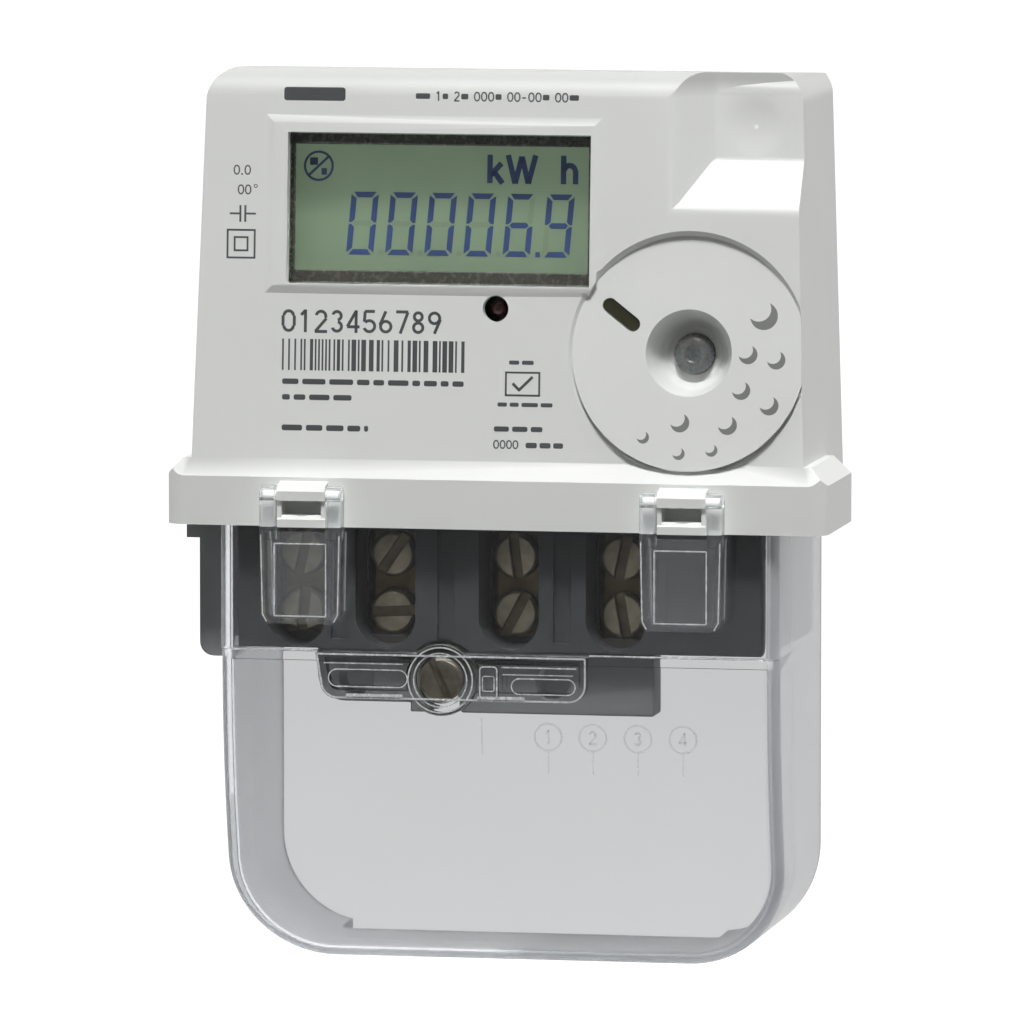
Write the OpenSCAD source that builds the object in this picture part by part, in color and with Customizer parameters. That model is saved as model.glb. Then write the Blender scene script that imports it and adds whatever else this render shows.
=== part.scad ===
// Single-phase static electricity meter with an extended clear terminal cover.
// Frame: x to the right, y into the wall, z up. y = 0 is the wall face,
// z = 0 is the lower edge of the flange, x = 0 is the centre line.

/* [Body] */
// Width of the body where it meets the flange
body_w_low = 111.2; // [110.6:0.1:112]
// Width of the body at its top
body_w_top = 107.6; // [106:0.1:109]
// Height of the front top edge above the flange edge
body_h = 80.2; // [79:0.1:83]
// Depth of the front face at the flange level, from the wall
face_y_low = 48.2; // [47.8:0.1:48.6]
// Lean of the front face, degrees
face_tilt = 4.04; // [3.6:0.02:4.4]
// Wall thickness of the main cover
wall = 2.2; // [2:0.1:2.4]
// Gap between the cover rim and the wall
rim_y = 5.2; // [5:0.1:6]

/* [Flange] */
// Width of the flange
flange_w = 120; // [118:0.2:122]
// Depth of the flange front from the wall
flange_y = 50; // [49.8:0.1:50.4]
// Depth of the flange side panels
flange_side = 28; // [24:0.5:32]
// Height of the upright part of the flange
flange_h = 8.8; // [8.4:0.1:9.6]
// Height at which the flange bevel meets the body
flange_top = 12; // [11.5:0.1:12.5]

/* [Display] */
// Left edge of the display opening
win_x0 = -38.5; // [-39.5:0.1:-37]
// Right edge of the display opening
win_x1 = 16.6; // [15:0.1:17.5]
// Lower edge of the display opening
win_z0 = 43.3; // [42.5:0.1:44.5]
// Upper edge of the display opening
win_z1 = 70.3; // [69:0.1:71]
// Depth of the display glass behind the face
lcd_d = 8.4; // [8:0.1:9]

/* [Dial and button] */
// Centre of the round dial area, across
dial_x = 34.7; // [34:0.1:35]
// Centre of the round dial area, up
dial_z = 32; // [31:0.1:33]
// Radius of the round dial area
dial_r = 20.9; // [20:0.1:21.4]
// Extra lean of the round dial area, degrees
dial_tilt = 3.5; // [2.5:0.1:4]
// Radius of the button head
button_r = 3.6; // [3.2:0.05:3.8]
// Travel of the button
button_travel = 0.8; // [0.4:0.1:0.9]

/* [Terminals] */
// Centres of the four terminals, across
term_x = [-37, -20.7, 1.8, 21.3];
// Height of the upper clamping screws
screw_z_up = -5.8; // [-6.2:0.1:-5.4]
// Height of the lower clamping screws
screw_z_low = -16.1; // [-16.4:0.1:-15.8]
// Diameter of the clamping screw heads
screw_head_d = 8.2; // [7.6:0.1:8.6]
// Diameter of the cable bores
cable_d = 8; // [6.5:0.1:8.2]
// Lower face of the terminal block
block_z0 = -22.3; // [-22.6:0.1:-22]

/* [Terminal cover] */
// Width of the clear cover
cover_w = 101.8; // [101.4:0.1:102.2]
// Lowest point of the clear cover
cover_z0 = -79.5; // [-84:0.5:-74]
// Wall thickness of the clear cover
cover_t = 2; // [1.8:0.1:2.2]
// Radius of the lower corners
cover_r = 18.5; // [14:0.5:22]
// Depth of the upper front panel from the wall
cover_y = 47.3; // [47:0.05:47.4]
// Radius of the curve of the lower front panel
cover_curve = 143; // [130:1:200]

/* [Seals] */
// Centre of each sealing flap, left and right of the centre line
latch_x = 34.5; // [33:0.1:35.5]
// Height of the pivot of the sealing flaps
latch_z = 5.8; // [5.4:0.1:6.2]
// Depth of the pivot of the sealing flaps
latch_y = 52.2; // [52:0.1:52.6]
// Centre of the sealing screw, across
seal_x = -10.2; // [-11:0.1:-9.6]
// Centre of the sealing screw, up
seal_z = -27.4; // [-27.8:0.1:-27]

/* [Hidden] */

e = 0.01;
ft = face_tilt;
function fy(z) = -face_y_low + (z - flange_top) * tan(ft);
function arc(cx, cz, r, a0, a1, n) =
    [for (i = [0 : n]) [cx + r * cos(a0 + (a1 - a0) * i / n), cz + r * sin(a0 + (a1 - a0) * i / n)]];

// Places its children on the leaning front face: local y runs into the body,
// local z runs up the face from the flange level.
module on_face() translate([0, -face_y_low, flange_top]) rotate([-ft, 0, 0]) children();
function fs(z) = (z - flange_top) / cos(ft);

// Extrudes a 2D outline given in x and z along y, from y0 to y1.
module along_y(y0, y1) translate([0, y1, 0]) rotate([90, 0, 0]) linear_extrude(y1 - y0) children();
// Extrudes a 2D outline given in y and z along x, from x0 to x1.
module along_x(x0, x1) translate([x0, 0, 0]) rotate([90, 0, 90]) linear_extrude(x1 - x0) children();
// A cylinder along y.
module ycyl(x, z, r, y0, y1, fn = 48) translate([x, y1, z]) rotate([90, 0, 0]) cylinder(r = r, h = y1 - y0, $fn = fn);
// A cylinder along x.
module xcyl(y, z, r, x0, x1, fn = 40) translate([x0, y, z]) rotate([0, 90, 0]) cylinder(r = r, h = x1 - x0, $fn = fn);

body_top = 79.6;      // top at the wall side
front_top = 81.5;     // top just behind the front edge
top_r = 5;            // round of the upper front edge
pad_d = 6.35;         // depth of the corner pad
corner = 6;
// Half width of the body at a height.
function hw(z) = (body_w_low + (body_w_top - body_w_low) * (z - flange_top) / (body_h - flange_top)) / 2;

// Outline of the body in x and z, pulled in by i, from z0 up.
module body_outline(i, z0, top = body_top) {
    zt = top - i; r = corner - i * 0.8;
    xt = hw(zt) - i; xb = hw(z0) - i;
    polygon(concat([[-xb, z0], [xb, z0]],
        arc(xt - r - 0.1, zt - r, r, 0, 90, 10),
        arc(-xt + r + 0.1, zt - r, r, 90, 180, 10)));
}
// Side profile of the body in y and z, pulled in by i, open towards the wall.
module body_profile(i, z0, y1) {
    r = max(top_r - i, 0.5);
    cy = fy(front_top - top_r) + i / cos(ft) + r * cos(ft); cz = front_top - i - r;
    polygon(concat([[fy(z0) + i, z0], [y1, z0], [y1, body_top - i + (front_top - body_top) * (y1 + rim_y) / (cy + rim_y)]],
        arc(cy, cz, r, 90 - 2.8, 180 - ft, 12)));
}
module body_solid(i, z0, y1) intersection() {
    along_y(-70, y1) body_outline(i, z0, front_top + 0.2);
    along_x(-70, 70) body_profile(i, z0, y1);
}
module flange_solid(i, z0) {
    w = flange_w / 2 - i; y0 = -flange_y + i; y1 = -flange_y + flange_side - i; h = flange_h - i; t = flange_top - i;
    r = 3.2 - i;
    intersection() {
        translate([0, 0, z0]) linear_extrude(t - z0) polygon(concat(
            [[-w, y1], [w, y1]],
            arc(w - r, y0 + r, r, 0, -90, 6), arc(-w + r, y0 + r, r, -90, -180, 6)));
        along_x(-70, 70) polygon([[y0, z0], [y1, z0], [y1, h], [y1 - 1.8, t], [y0 + 1.8, t], [y0, h]]);
        along_y(-70, 0) polygon([[-w, z0], [w, z0], [w, h], [w - 3, t], [-w + 3, t], [-w, h]]);
    }
}
post_pts = [[-46.5, 22], [46.5, 22], [-45.5, 71], [45.5, 71]];
pcb_pts = [[-37, 21.5], [29, 19.5], [-37, 74.6], [30, 74.6]];
pcb_d = 17;

module dial_frame() on_face() translate([dial_x, 0, fs(dial_z)]) rotate([-dial_tilt, 0, 0]) children();

// White loop under which a sealing wire passes, with a pivot stub on each side.
module seal_loop(x) translate([x, 0, 0]) {
    // upper bar, lower bar and cheeks
    along_x(-4.4, 4.4) polygon([[-flange_y + 0.6, 4.9], [-53.4, 4.9], [-53.4, 6.6], [-52.6, 7.6], [-flange_y + 0.6, 8.3]]);
    along_x(-4.4, 4.4) polygon([[-flange_y + 0.6, 0.1], [-53.0, 0.1], [-53.0, 1.5], [-52.4, 2.3], [-flange_y + 0.6, 2.3]]);
    for (s = [-1, 1]) along_x(s > 0 ? 3.6 : -4.4, s > 0 ? 4.4 : -3.6)
        polygon([[-flange_y + 0.6, 0.1], [-52.4, 0.1], [-52.8, 1.2], [-52.8, 6], [-flange_y + 0.6, 7.6]]);
    // bump on the lower bar
    along_x(-0.9, 0.9) polygon([[-51.4, 2.2], [-52.6, 2.2], [-52.6, 2.8], [-52.3, 3.1], [-51.7, 3.1], [-51.4, 2.8]]);
    for (s = [-1, 1]) xcyl(-latch_y, latch_z, 0.9, s > 0 ? 4.3 : -6.9, s > 0 ? 6.9 : -4.3);
}

// Main cover: the body shell with the flange, the display opening, the dial
// with its bowl, the corner pad and the two sealing loops, in one moulding.
module main_cover() color([0.93, 0.94, 0.93]) difference() {
    union() {
        difference() {
            union() {
                body_solid(0, 0, -rim_y);
                flange_solid(0, 0);
                bezel();
            }
            body_solid(wall, -1, 1);
            flange_solid(wall, -1);
            // opening of the round dial, closed again by the dial plate
            dial_frame() rotate([90, 0, 0]) translate([0, 0, -1]) cylinder(r = dial_r, h = 9, $fn = 96);
            // its softened edge
            on_face() translate([dial_x, 0, fs(dial_z)]) rotate([90, 0, 0]) translate([0, 0, -0.9]) cylinder(r1 = dial_r - 0.1, r2 = dial_r + 1.1, h = 1.2, $fn = 96);
            // corner pad
            pad_cut(0);
        }
        // dial plate with its bowl, kept inside the body and its proud lower edge
        difference() {
            intersection() {
                dial_frame() rotate([-90, 0, 0]) union() {
                    cylinder(r1 = dial_r - 0.6, r2 = dial_r + 0.2, h = 0.8, $fn = 96);
                    translate([0, 0, 0.7]) cylinder(r = dial_r + 0.2, h = wall - 0.7, $fn = 96);
                    cylinder(r = 9.6, h = 8.2, $fn = 48);
                }
                along_y(-60, -10) polygon([[5, 8.6], [hw(10) - 0.2, 8.6], [hw(60) - 0.2, 60], [5, 60]]);
            }
            dial_frame() rotate([90, 0, 0]) translate([0, 0, 0]) cylinder(r = dial_r + 3, h = 6, $fn = 96);
        }
        // wall of the dial's lower edge and of its upper edge
        intersection() {
            dial_frame() rotate([-90, 0, 0]) difference() {
                cylinder(r = dial_r + 0.2, h = 3.0, $fn = 96);
                translate([0, 0, -1]) cylinder(r = dial_r - 1.6, h = 6, $fn = 96);
            }
            union() { body_solid(0, 0, -rim_y); along_y(-60, -44) polygon([[5, 9], [hw(10) - 0.2, 9], [hw(30) - 0.2, 32], [5, 32]]); }
        }
        // corner pad floor and ramps
        intersection() { pad_cut(wall); body_solid(0, 0, -rim_y); difference() { body_solid(0, 0, -rim_y); pad_cut(0); } }
        // posts for the case screws
        for (p = post_pts) intersection() { ycyl(p[0], p[1], 3.4, -50, -rim_y); body_solid(wall - 0.3, 0, -rim_y); difference() { body_solid(0, 0, -rim_y); pad_cut(0); } }
        // posts that carry the board
        for (p = pcb_pts) intersection() {
            on_face() translate([p[0], 0, fs(p[1])]) rotate([-90, 0, 0]) cylinder(r = 2.8, h = pcb_d, $fn = 40);
            body_solid(wall - 0.3, 0, -rim_y);
            difference() { body_solid(0, 0, -rim_y); pad_cut(0); }
        }
        for (x = [-latch_x, latch_x]) seal_loop(x);
    }
    // display opening
    on_face() translate([win_x0, -4, fs(win_z0)]) cube([win_x1 - win_x0, 9, fs(win_z1) - fs(win_z0)]);
    // shallow dimple of the pad
    on_face() translate([45.2, pad_d, fs(72.3)]) rotate([-90, 0, 0]) rotate_extrude($fn = 48) polygon([[0, -0.4], [5.6, -0.4], [5.6, 0], [4.6, 0.12], [3.2, 0.3], [1.6, 0.42], [0, 0.46]]);
    // port of the pulse lamp
    on_face() translate([-0.4, -4, fs(39.3)]) rotate([-90, 0, 0]) cylinder(r = 2.35, h = 9, $fn = 40);
    // slot of the indicator window
    on_face() translate([22.35, -4, fs(38.6)]) rotate([0, 38, 0]) indicator_slot(1.35, 8, 9);
    // bowl and button hole
    dial_frame() rotate([-90, 0, 0]) translate([0, 0, -3]) rotate_extrude($fn = 72)
        polygon([[0, 0], [8.1, 0], [8.1, 2.6], [7.8, 3], [7.1, 5.4], [6.2, 8.2], [5, 9.4], [3.6, 9.6], [0, 9.6]]);
    on_face() translate([dial_x, 0, fs(31.8)]) rotate([-90, 0, 0]) cylinder(r = button_r + 0.12, h = 14, $fn = 48);
    // pilot holes of the case screws and the board screws
    for (p = post_pts) ycyl(p[0], p[1], 1.5, -26, 0, 32);
    for (p = pcb_pts) on_face() translate([p[0], pcb_d - 9, fs(p[1])]) rotate([-90, 0, 0]) cylinder(r = 1.3, h = 20, $fn = 32);
    // shallow recesses in the flange behind the sealing loops
    for (x = [-latch_x, latch_x]) translate([x - 3.6, -54, 2.3]) cube([7.2, 5.2, 2.6]);
    // hollow of the flange stays open around the bars of the loops
    for (x = [-latch_x, latch_x]) translate([x - 8, -flange_y + wall, -1]) cube([16, 4, 8]);
}
// Low raised field around the display, with a sloping edge.
module bezel() on_face() intersection() {
    along_x(-60, 60) polygon([[-0.55, fs(42.9)], [0.5, fs(40.2)], [0.5, fs(74.8)], [-0.55, fs(72)]]);
    translate([0, 0, 20]) linear_extrude(60) polygon([[-41.1, -0.55], [-43.9, 0.5], [20, 0.5], [17.2, -0.55]]);
}
// A pill-shaped prism along local y, centred on the origin.
module indicator_slot(r, l, h) rotate([-90, 0, 0]) union() {
    for (s = [-1, 1]) translate([s * (l / 2 - r), 0, 0]) cylinder(r = r, h = h, $fn = 32);
    translate([-(l / 2 - r), -r, 0]) cube([l - 2 * r, 2 * r, h]);
}
// Space cut away above the corner pad, grown by i: a pocket that is open
// to the top and to the right, with a ramp on its left and below it.
module pad_cut(i) on_face() {
    d = pad_d + i; x1 = 31.7 - i; x2 = x1 + 5.9; s1 = fs(57.5) - i; s2 = s1 + 8.9; st = fs(front_top) + 0.2;
    rv = i > 0 ? 0.4 : 3.2; rc = i > 0 ? 0.4 : 1.8; e = rv * tan(26); g = rv * tan(22);
    intersection() {
        // across the face: ramp rising out of the pad towards the left
        translate([0, 0, 20]) linear_extrude(80) polygon(concat([[80, -30], [80, d + 3]],
            fillet([80, d + 0.02], [x2, d], [x1, 0], rc, 6), fillet([x2, d], [x1, 0], [x1 - 20, 0], rv, 8), [[x1 - g, -30]]));
        // up the face: lower ramp, floor and the round into the top
        along_x(x1 - 20, 80) polygon(concat([[-30, s1 - e]],
            fillet([0, s1 - 20], [0, s1], [d, s2], rv, 8), fillet([0, s1], [d, s2], [d + 0.02, st], rc, 6),
            i > 0 ? [[d, 100]] : concat([[d, st - 3.4]], [for (k = [1:6]) [d + 3 * (1 - cos(k * 12)), st - 3.4 + 3 * sin(k * 12)]], [[d + 9, st + 1.6]]),
            [[d + 9, 110], [-30, 110]]));
    }
}
// Points of the round that replaces the corner b between a and c.
function fillet(a, b, c, r, n) =
    let (u = (a - b) / norm(a - b), v = (c - b) / norm(c - b), h = acos(u * v) / 2, m = (u + v) / norm(u + v),
        o = b + m * r / sin(h), p = b + u * r / tan(h) - o, q = b + v * r / tan(h) - o,
        t = acos(max(-1, min(1, p * q / r / r))), w = p.x * q.y - p.y * q.x > 0 ? 1 : -1)
    [for (k = [0:n]) o + [p.x * cos(w * t * k / n) - p.y * sin(w * t * k / n), p.x * sin(w * t * k / n) + p.y * cos(w * t * k / n)]];

// Clear lens of the display, seated behind the front wall.
module display_window() color([0.8, 0.86, 0.84, 0.5]) difference() {
    on_face() {
        translate([win_x0 + 0.12, 0.7, fs(win_z0) + 0.12]) cube([win_x1 - win_x0 - 0.24, 1.6, fs(win_z1) - fs(win_z0) - 0.24]);
        translate([win_x0 - 1.2, 2.25, fs(win_z0) - 1.2]) cube([win_x1 - win_x0 + 2.4, 1.0, fs(win_z1) - fs(win_z0) + 2.4]);
    }
    dial_room();
}
// Room kept free behind the dial plate by the display's parts.
module dial_room() dial_frame() rotate([-90, 0, 0]) cylinder(r = dial_r + 0.38, h = 4.6, $fn = 96);
// Dark frame that holds the display glass in front of the board.
module lcd_frame() color([0.24, 0.24, 0.2]) on_face() difference() {
    translate([win_x0 - 2.4, 3.4, fs(win_z0) - 1.7]) cube([58.8, pcb_d - 3.45, 30.4]);
    translate([win_x0 - 0.6, 3, fs(win_z0) + 0.2]) cube([55.6, 4.1, 27.1]);
    translate([win_x0 - 0.1, 3, fs(45.7)]) cube([53.6, 9, fs(68.2) - fs(45.7)]);
    translate([win_x0 - 1.5, lcd_d - 0.05, fs(43.6)]) cube([56.9, pcb_d, 26.6]);
    // notches beside the board posts and the dial
    translate([15.4, 3, fs(40)]) cube([6, 3, 5.4]);
    translate([-37 - 3.1, 3, fs(74.6) - 3.1]) cube([6.2, 20, 6.2]);
}
module lcd_glass() color([0.5, 0.58, 0.44]) on_face() union() {
    translate([win_x0 - 1.2, lcd_d, fs(44)]) cube([56.2, 1.1, 25.8]);
    translate([win_x0 - 1.2, lcd_d + 1.15, fs(45.6)]) cube([56.2, 1.1, 24.1]);
    // sealed edge between the two plates
    translate([win_x0 - 0.2, lcd_d + 1.05, fs(46.4)]) cube([54, 0.15, 22.4]);
}
module backlight_plate() color([0.85, 0.9, 0.8]) on_face()
    translate([win_x0 - 0.8, lcd_d + 2.4, fs(48.2)]) cube([55.2, 2.4, 18.4]);
// Rubber strips that connect the display glass to the board.
module lcd_contact_strips() color([0.75, 0.5, 0.5]) on_face()
    translate([win_x0 + 0.4, lcd_d + 1.15, fs(44.2)]) for (k = [0 : 1]) translate([27.3 * k, 0, 0]) cube([26, pcb_d - lcd_d - 1.2, 1.2]);

// Tinted window with two lamps behind it.
module indicator_window() color([0.24, 0.24, 0.18]) on_face() union() {
    translate([22.35, 0.75, fs(38.6)]) rotate([0, 38, 0]) indicator_slot(1.25, 7.8, 2.4);
    translate([22.35, 3.1, fs(38.6)]) rotate([0, 38, 0]) indicator_slot(1.9, 9, 0.8);
}
module indicator_leds() color([0.75, 0.3, 0.28]) on_face()
    for (s = [-1, 1]) translate([22.35 + s * 1.7, 0, fs(38.6) - s * 1.25]) {
        translate([0, 5.2, 0]) rotate([-90, 0, 0]) cylinder(r = 0.95, h = 3.4, $fn = 24);
        translate([0, 8.5, 0]) rotate([-90, 0, 0]) cylinder(r = 1.2, h = 1, $fn = 24);
        for (t = [-0.45, 0.45]) translate([t - 0.15, 9.4, -0.15]) cube([0.3, pcb_d - 9.4, 0.3]);
    }
module pulse_led() color([0.75, 0.15, 0.12]) on_face() translate([-0.4, 0, fs(39.3)]) {
    translate([0, 3.6, 0]) rotate([-90, 0, 0]) cylinder(r = 1.5, h = 4, $fn = 32);
    translate([0, 3.6, 0]) intersection() { sphere(r = 1.5, $fn = 32); translate([-3, -3, -3]) cube([6, 3.01, 6]); }
    translate([0, 7.5, 0]) rotate([-90, 0, 0]) cylinder(r = 1.9, h = 1, $fn = 32);
    for (t = [-1.27, 1.27]) translate([t - 0.25, 8.4, -0.25]) cube([0.5, pcb_d - 8.4, 0.5]);
}

module main_pcb() color([0.1, 0.38, 0.2]) on_face() difference() {
    translate([-41, pcb_d + 0.02, fs(16)]) cube([82, 1.6, 61.5]);
    for (p = pcb_pts) translate([p[0], pcb_d - 1, fs(p[1])]) rotate([-90, 0, 0]) cylinder(r = 1.6, h = 4, $fn = 32);
    for (p = post_pts) translate([p[0], pcb_d - 1, fs(p[1])]) rotate([-90, 0, 0]) cylinder(r = 4.4, h = 4, $fn = 32);
}
bd = pcb_d + 1.64;
module pcb_screws() color("silver") on_face() for (p = pcb_pts) translate([p[0], 0, fs(p[1])]) difference() {
    union() {
        translate([0, bd, 0]) rotate([-90, 0, 0]) cylinder(r = 2.5, h = 1.8, $fn = 32);
        translate([0, pcb_d - 6, 0]) rotate([-90, 0, 0]) cylinder(r = 1.25, h = 8, $fn = 24);
    }
    translate([-3, bd + 1.1, -0.4]) cube([6, 2, 0.8]);
}
module chip(x, z, w, h, t = 1.5) translate([x - w / 2, bd, fs(z) - h / 2]) cube([w, t, h]);
module metering_chips() color([0.12, 0.12, 0.13]) on_face() {
    chip(-14, 52, 12, 12); chip(8, 52, 8, 10); chip(-14, 34, 6, 5); chip(24, 58, 5, 4);
}
module smd_parts() color([0.6, 0.5, 0.35]) on_face() {
    for (k = [0 : 7]) chip(-28 + 3.2 * k, 64, 1.2, 2, 0.8);
    for (k = [0 : 5]) chip(-2 + 3.2 * k, 40, 1.2, 2, 0.8);
    for (k = [0 : 3]) chip(-31, 40 + 4 * k, 2.4, 1.4, 0.7);
}
module clock_crystal() color("silver") on_face() translate([-2, bd + 1.6, fs(60)]) {
    translate([-4.2, 0, 0]) rotate([0, 90, 0]) cylinder(r = 1.55, h = 8.4, $fn = 32);
    for (t = [-0.5, 0.5]) translate([4.1, -0.15, t - 0.15]) cube([2.4, 0.3, 0.3]);
    for (t = [-0.5, 0.5]) translate([6.2, -1.6, t - 0.15]) cube([0.3, 1.7, 0.3]);
}
module dropper_capacitor() color([0.75, 0.68, 0.2]) on_face() {
    translate([14, bd + 0.5, fs(22)]) cube([22, 12, 8.5]);
    for (x = [17, 33]) translate([x, bd - 0.0, fs(26)]) cube([0.6, 0.6, 0.6]);
}
module filter_capacitors() color([0.15, 0.2, 0.35]) on_face() for (p = [[-28, 28, 4.8], [2, 25, 4]])
    translate([p[0], bd, fs(p[1])]) rotate([-90, 0, 0]) rotate_extrude($fn = 36)
        polygon([[0, 0], [p[2], 0], [p[2], 1.4], [p[2] - 0.3, 1.7], [p[2], 2], [p[2], 12], [p[2] - 0.5, 12.5], [0, 12.5]]);
module surge_varistor() color([0.2, 0.35, 0.6]) on_face() translate([-11, 0, fs(25)]) {
    translate([0, bd + 8, 0]) rotate([0, 90, 0]) translate([0, 0, -2]) cylinder(r = 6, h = 4, $fn = 40);
    for (t = [-3, 3]) translate([-0.3, bd, t - 0.3]) cube([0.6, 4, 0.6]);
}
module backup_battery() color([0.8, 0.8, 0.82]) on_face() {
    translate([30, bd + 5.4, fs(45)]) rotate([-90, 0, 0]) translate([0, 0, -5]) cylinder(r = 7.2, h = 5.4, $fn = 48);
    for (s = [-1, 1]) translate([30 + s * 6 - 0.5, bd, fs(45) - 0.5]) cube([1, 0.5, 1]);
}
module tact_switch() color([0.15, 0.15, 0.16]) on_face() translate([dial_x, 0, fs(31.8)]) difference() {
    translate([-3, 13.6, -3]) cube([6, pcb_d - 13.6, 6]);
    translate([0, 13, 0]) rotate([-90, 0, 0]) cylinder(r = 1.8, h = 2.6, $fn = 32);
}
module switch_plunger() color([0.75, 0.2, 0.15]) on_face() translate([dial_x, 12.35, fs(31.8)])
    rotate([-90, 0, 0]) cylinder(r = 1.72, h = 1.9, $fn = 32);
// Scroll button: domed head in the bowl, a collar behind the bowl and a stem
// that reaches the switch.
module scroll_button() color([0.72, 0.74, 0.74]) on_face() translate([dial_x, 0, fs(31.8)])
    rotate([-90, 0, 0]) rotate_extrude($fn = 64)
        polygon([[0, 4.3], [1.2, 4.35], [1.7, 4.1], [2.4, 4.15], [3.2, 4.6], [button_r, 5.4], [button_r, 9.4], [4.7, 9.4], [4.7, 10.4], [1.5, 10.4], [1.5, 12.3], [0, 12.3]]);

// Rear base: back plate, spigot wall, side hook on the left and a lower
// extension with the fixing holes.
module rear_base() color([0.34, 0.36, 0.37]) difference() {
    union() {
        along_y(-rim_y + 0.1, 0) difference() { body_outline(0.9, -0.5); translate([-70, -60]) square([140, 63.2]); }
        along_y(-rim_y + 0.1, 0) translate([-47.6, block_z0]) square([95.2, 30]);
        along_y(-rim_y + 0.1, 0) translate([-39, -35]) square([56, 20]);
        // spigot wall inside the cover
        along_y(-14, -rim_y + 0.2) difference() {
            body_outline(wall + 1.9, 4);
            difference() { body_outline(wall + 3.7, 5.8); }
            translate([-49, 3]) square([98, 5]);
        }
        // left side wall that carries the hook
        along_y(-36, -7.1) polygon([[-53.2, 3.4], [-51.4, 3.4], [-51.4, 18], [-53.0, 18]]);
        along_y(-36, -27) polygon(concat([[-51.5, 9], [-53.2, 9], [-56.8, 5], [-56.8, -22.5]], arc(-54.3, -22.7, 2.5, 180, 270, 6), [[-51.5, -25.2]]));
        along_y(-36, -31) polygon([[-56.7, -1], [-59.2, -1], [-59.2, -3.8], [-56.7, -3.8]]);
    }
    // clearance of the case screws
    for (p = post_pts) { ycyl(p[0], p[1], 1.7, -20, 1, 32); ycyl(p[0], p[1], 3.2, -2.4, 1, 32); ycyl(p[0], p[1], 3.8, -20, -rim_y, 32); }
    // fixing holes of the lower extension
    for (x = [-27, 9]) ycyl(x, fix_z, 2.3, -20, 1);
    // hanging hole with a head chamber behind it
    ycyl(0, 69.5, 2.75, -20, 1);
    // screws of the terminal block
    for (x = [-28.8, 12]) { ycyl(x, 3.2, 1.7, -20, 1, 32); ycyl(x, 3.2, 3.1, -2.4, 1, 32); }
    // lightening grooves of the back
    for (k = [0 : 3]) along_y(-1.4, 1) translate([-36, 20 + 9 * k]) square([72, 4]);
}
module cover_gasket() color([0.12, 0.12, 0.12]) along_y(-6.6, -rim_y + 0.08) difference() {
    body_outline(wall + 0.45, 3.9);
    body_outline(wall + 1.75, 5.5);
    for (p = post_pts) translate([p[0], p[1]]) circle(r = 3.6, $fn = 32);
    translate([-70, 0]) square([140, 8]);
}
module screw_y(x, z, r_head, h_head, r, y_head, l) difference() {
    union() { ycyl(x, z, r_head, y_head - h_head, y_head, 32); ycyl(x, z, r, y_head - l, y_head - h_head + 0.1, 24); }
    translate([x - r_head - 1, y_head - 0.9, z - 0.5]) cube([2 * r_head + 2, 2, 1]);
}
module case_screws() color("silver") for (p = post_pts) screw_y(p[0], p[1], 2.9, 1.9, 1.45, -0.4, 20);
module block_screws() color("silver") for (x = [-28.8, 12]) screw_y(x, 3.2, 2.8, 1.9, 1.45, -0.4, 13);

// Terminal block: four wells in front, bars behind, cable holes from below.
module well(x) along_y(-60, -34.4) union() {
    translate([x - 5.45, -16.4]) square([10.9, 15.6]);
    translate([x, -16.4]) circle(r = 5.45, $fn = 48);
}
ext_y0 = -40.5; ext_y1 = -33.5; ext_x0 = -34; ext_x1 = 27.5; ext_z0 = -33.9; fix_z = -28.2;
module terminal_block() color([0.33, 0.35, 0.36]) difference() {
    translate([-47.6, -44.6, block_z0]) cube([95.1, 39.3, 30.0]);
    // shallow troughs between the wells
    for (x = [-29, -9.6, 11.5]) translate([x - 1.6, -46, -20.6]) cube([3.2, 2.6, 20.4]);
    for (x = term_x) {
        well(x);
        // channel of the bar, open at the top
        translate([x - 5.1, -34.6, -20.6]) cube([10.2, 14.2, 40]);
        // cable hole
        translate([x, -26.2, -40]) cylinder(r = cable_d / 2 + 0.4, h = 30, $fn = 48);
        // cable funnel
        translate([x, -26.2, block_z0 - 0.5]) cylinder(r1 = cable_d / 2 + 1.1, r2 = cable_d / 2 + 0.4, h = 1.2, $fn = 48);
    }
    // pilots of the screws from behind
    for (x = [-28.8, 12]) ycyl(x, 3.2, 1.5, -15, 0, 32);
    // room for the boss of the sealing screw
    ycyl(seal_x, seal_z, 7, -46, -41.9, 48);
    // grooves for the tongues of the lower panel
    for (x = [-25, 17.6]) translate([x - 0.05, -39.05, -23]) cube([7.1, 4.1, 2.75]);
    // relief behind the front panel at the top
    translate([-60, -46, 2.9]) cube([120, 1.8, 10]);
    // hollow at the rear of the block
    translate([27.6, -42, -19.8]) cube([17.4, 38, 40]);
    translate([-15.1, -32, -19.8]) cube([11.3, 28, 16]);
}
// Panel below the block: it holds the nut of the sealing screw and gives
// access to the fixing holes behind it.
module lower_panel() color([0.33, 0.35, 0.36]) difference() {
    union() {
        along_y(ext_y0, ext_y1) polygon(concat([[ext_x0, block_z0 - 0.03]], arc(ext_x0 + 5, -27.2, 5, 180, 270, 8),
            [[-17, -32.2], [-17, ext_z0], [ext_x1, ext_z0], [ext_x1, block_z0 - 0.03]]));
        for (x = [-25, 17.6]) translate([x, -39, -23]) cube([7, 4, 2.7]);
    }
    // slot of the sealing screw, open at the bottom, with room for the nut
    translate([seal_x, 0, 0]) {
        translate([-2.4, ext_y0 - 1, ext_z0 - 1]) cube([4.8, 9, seal_z - ext_z0 + 1]);
        ycyl(0, seal_z, 2.4, ext_y0 - 1, ext_y1 + 1, 40);
        translate([-3.9, -38.9, ext_z0 - 1]) cube([7.8, 3.8, seal_z - ext_z0 + 1 + 4]);
    }
    // access to the fixing holes
    for (x = [-27, 9]) ycyl(x, fix_z, 3.05, ext_y0 - 1, ext_y1 + 1, 40);
}
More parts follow.
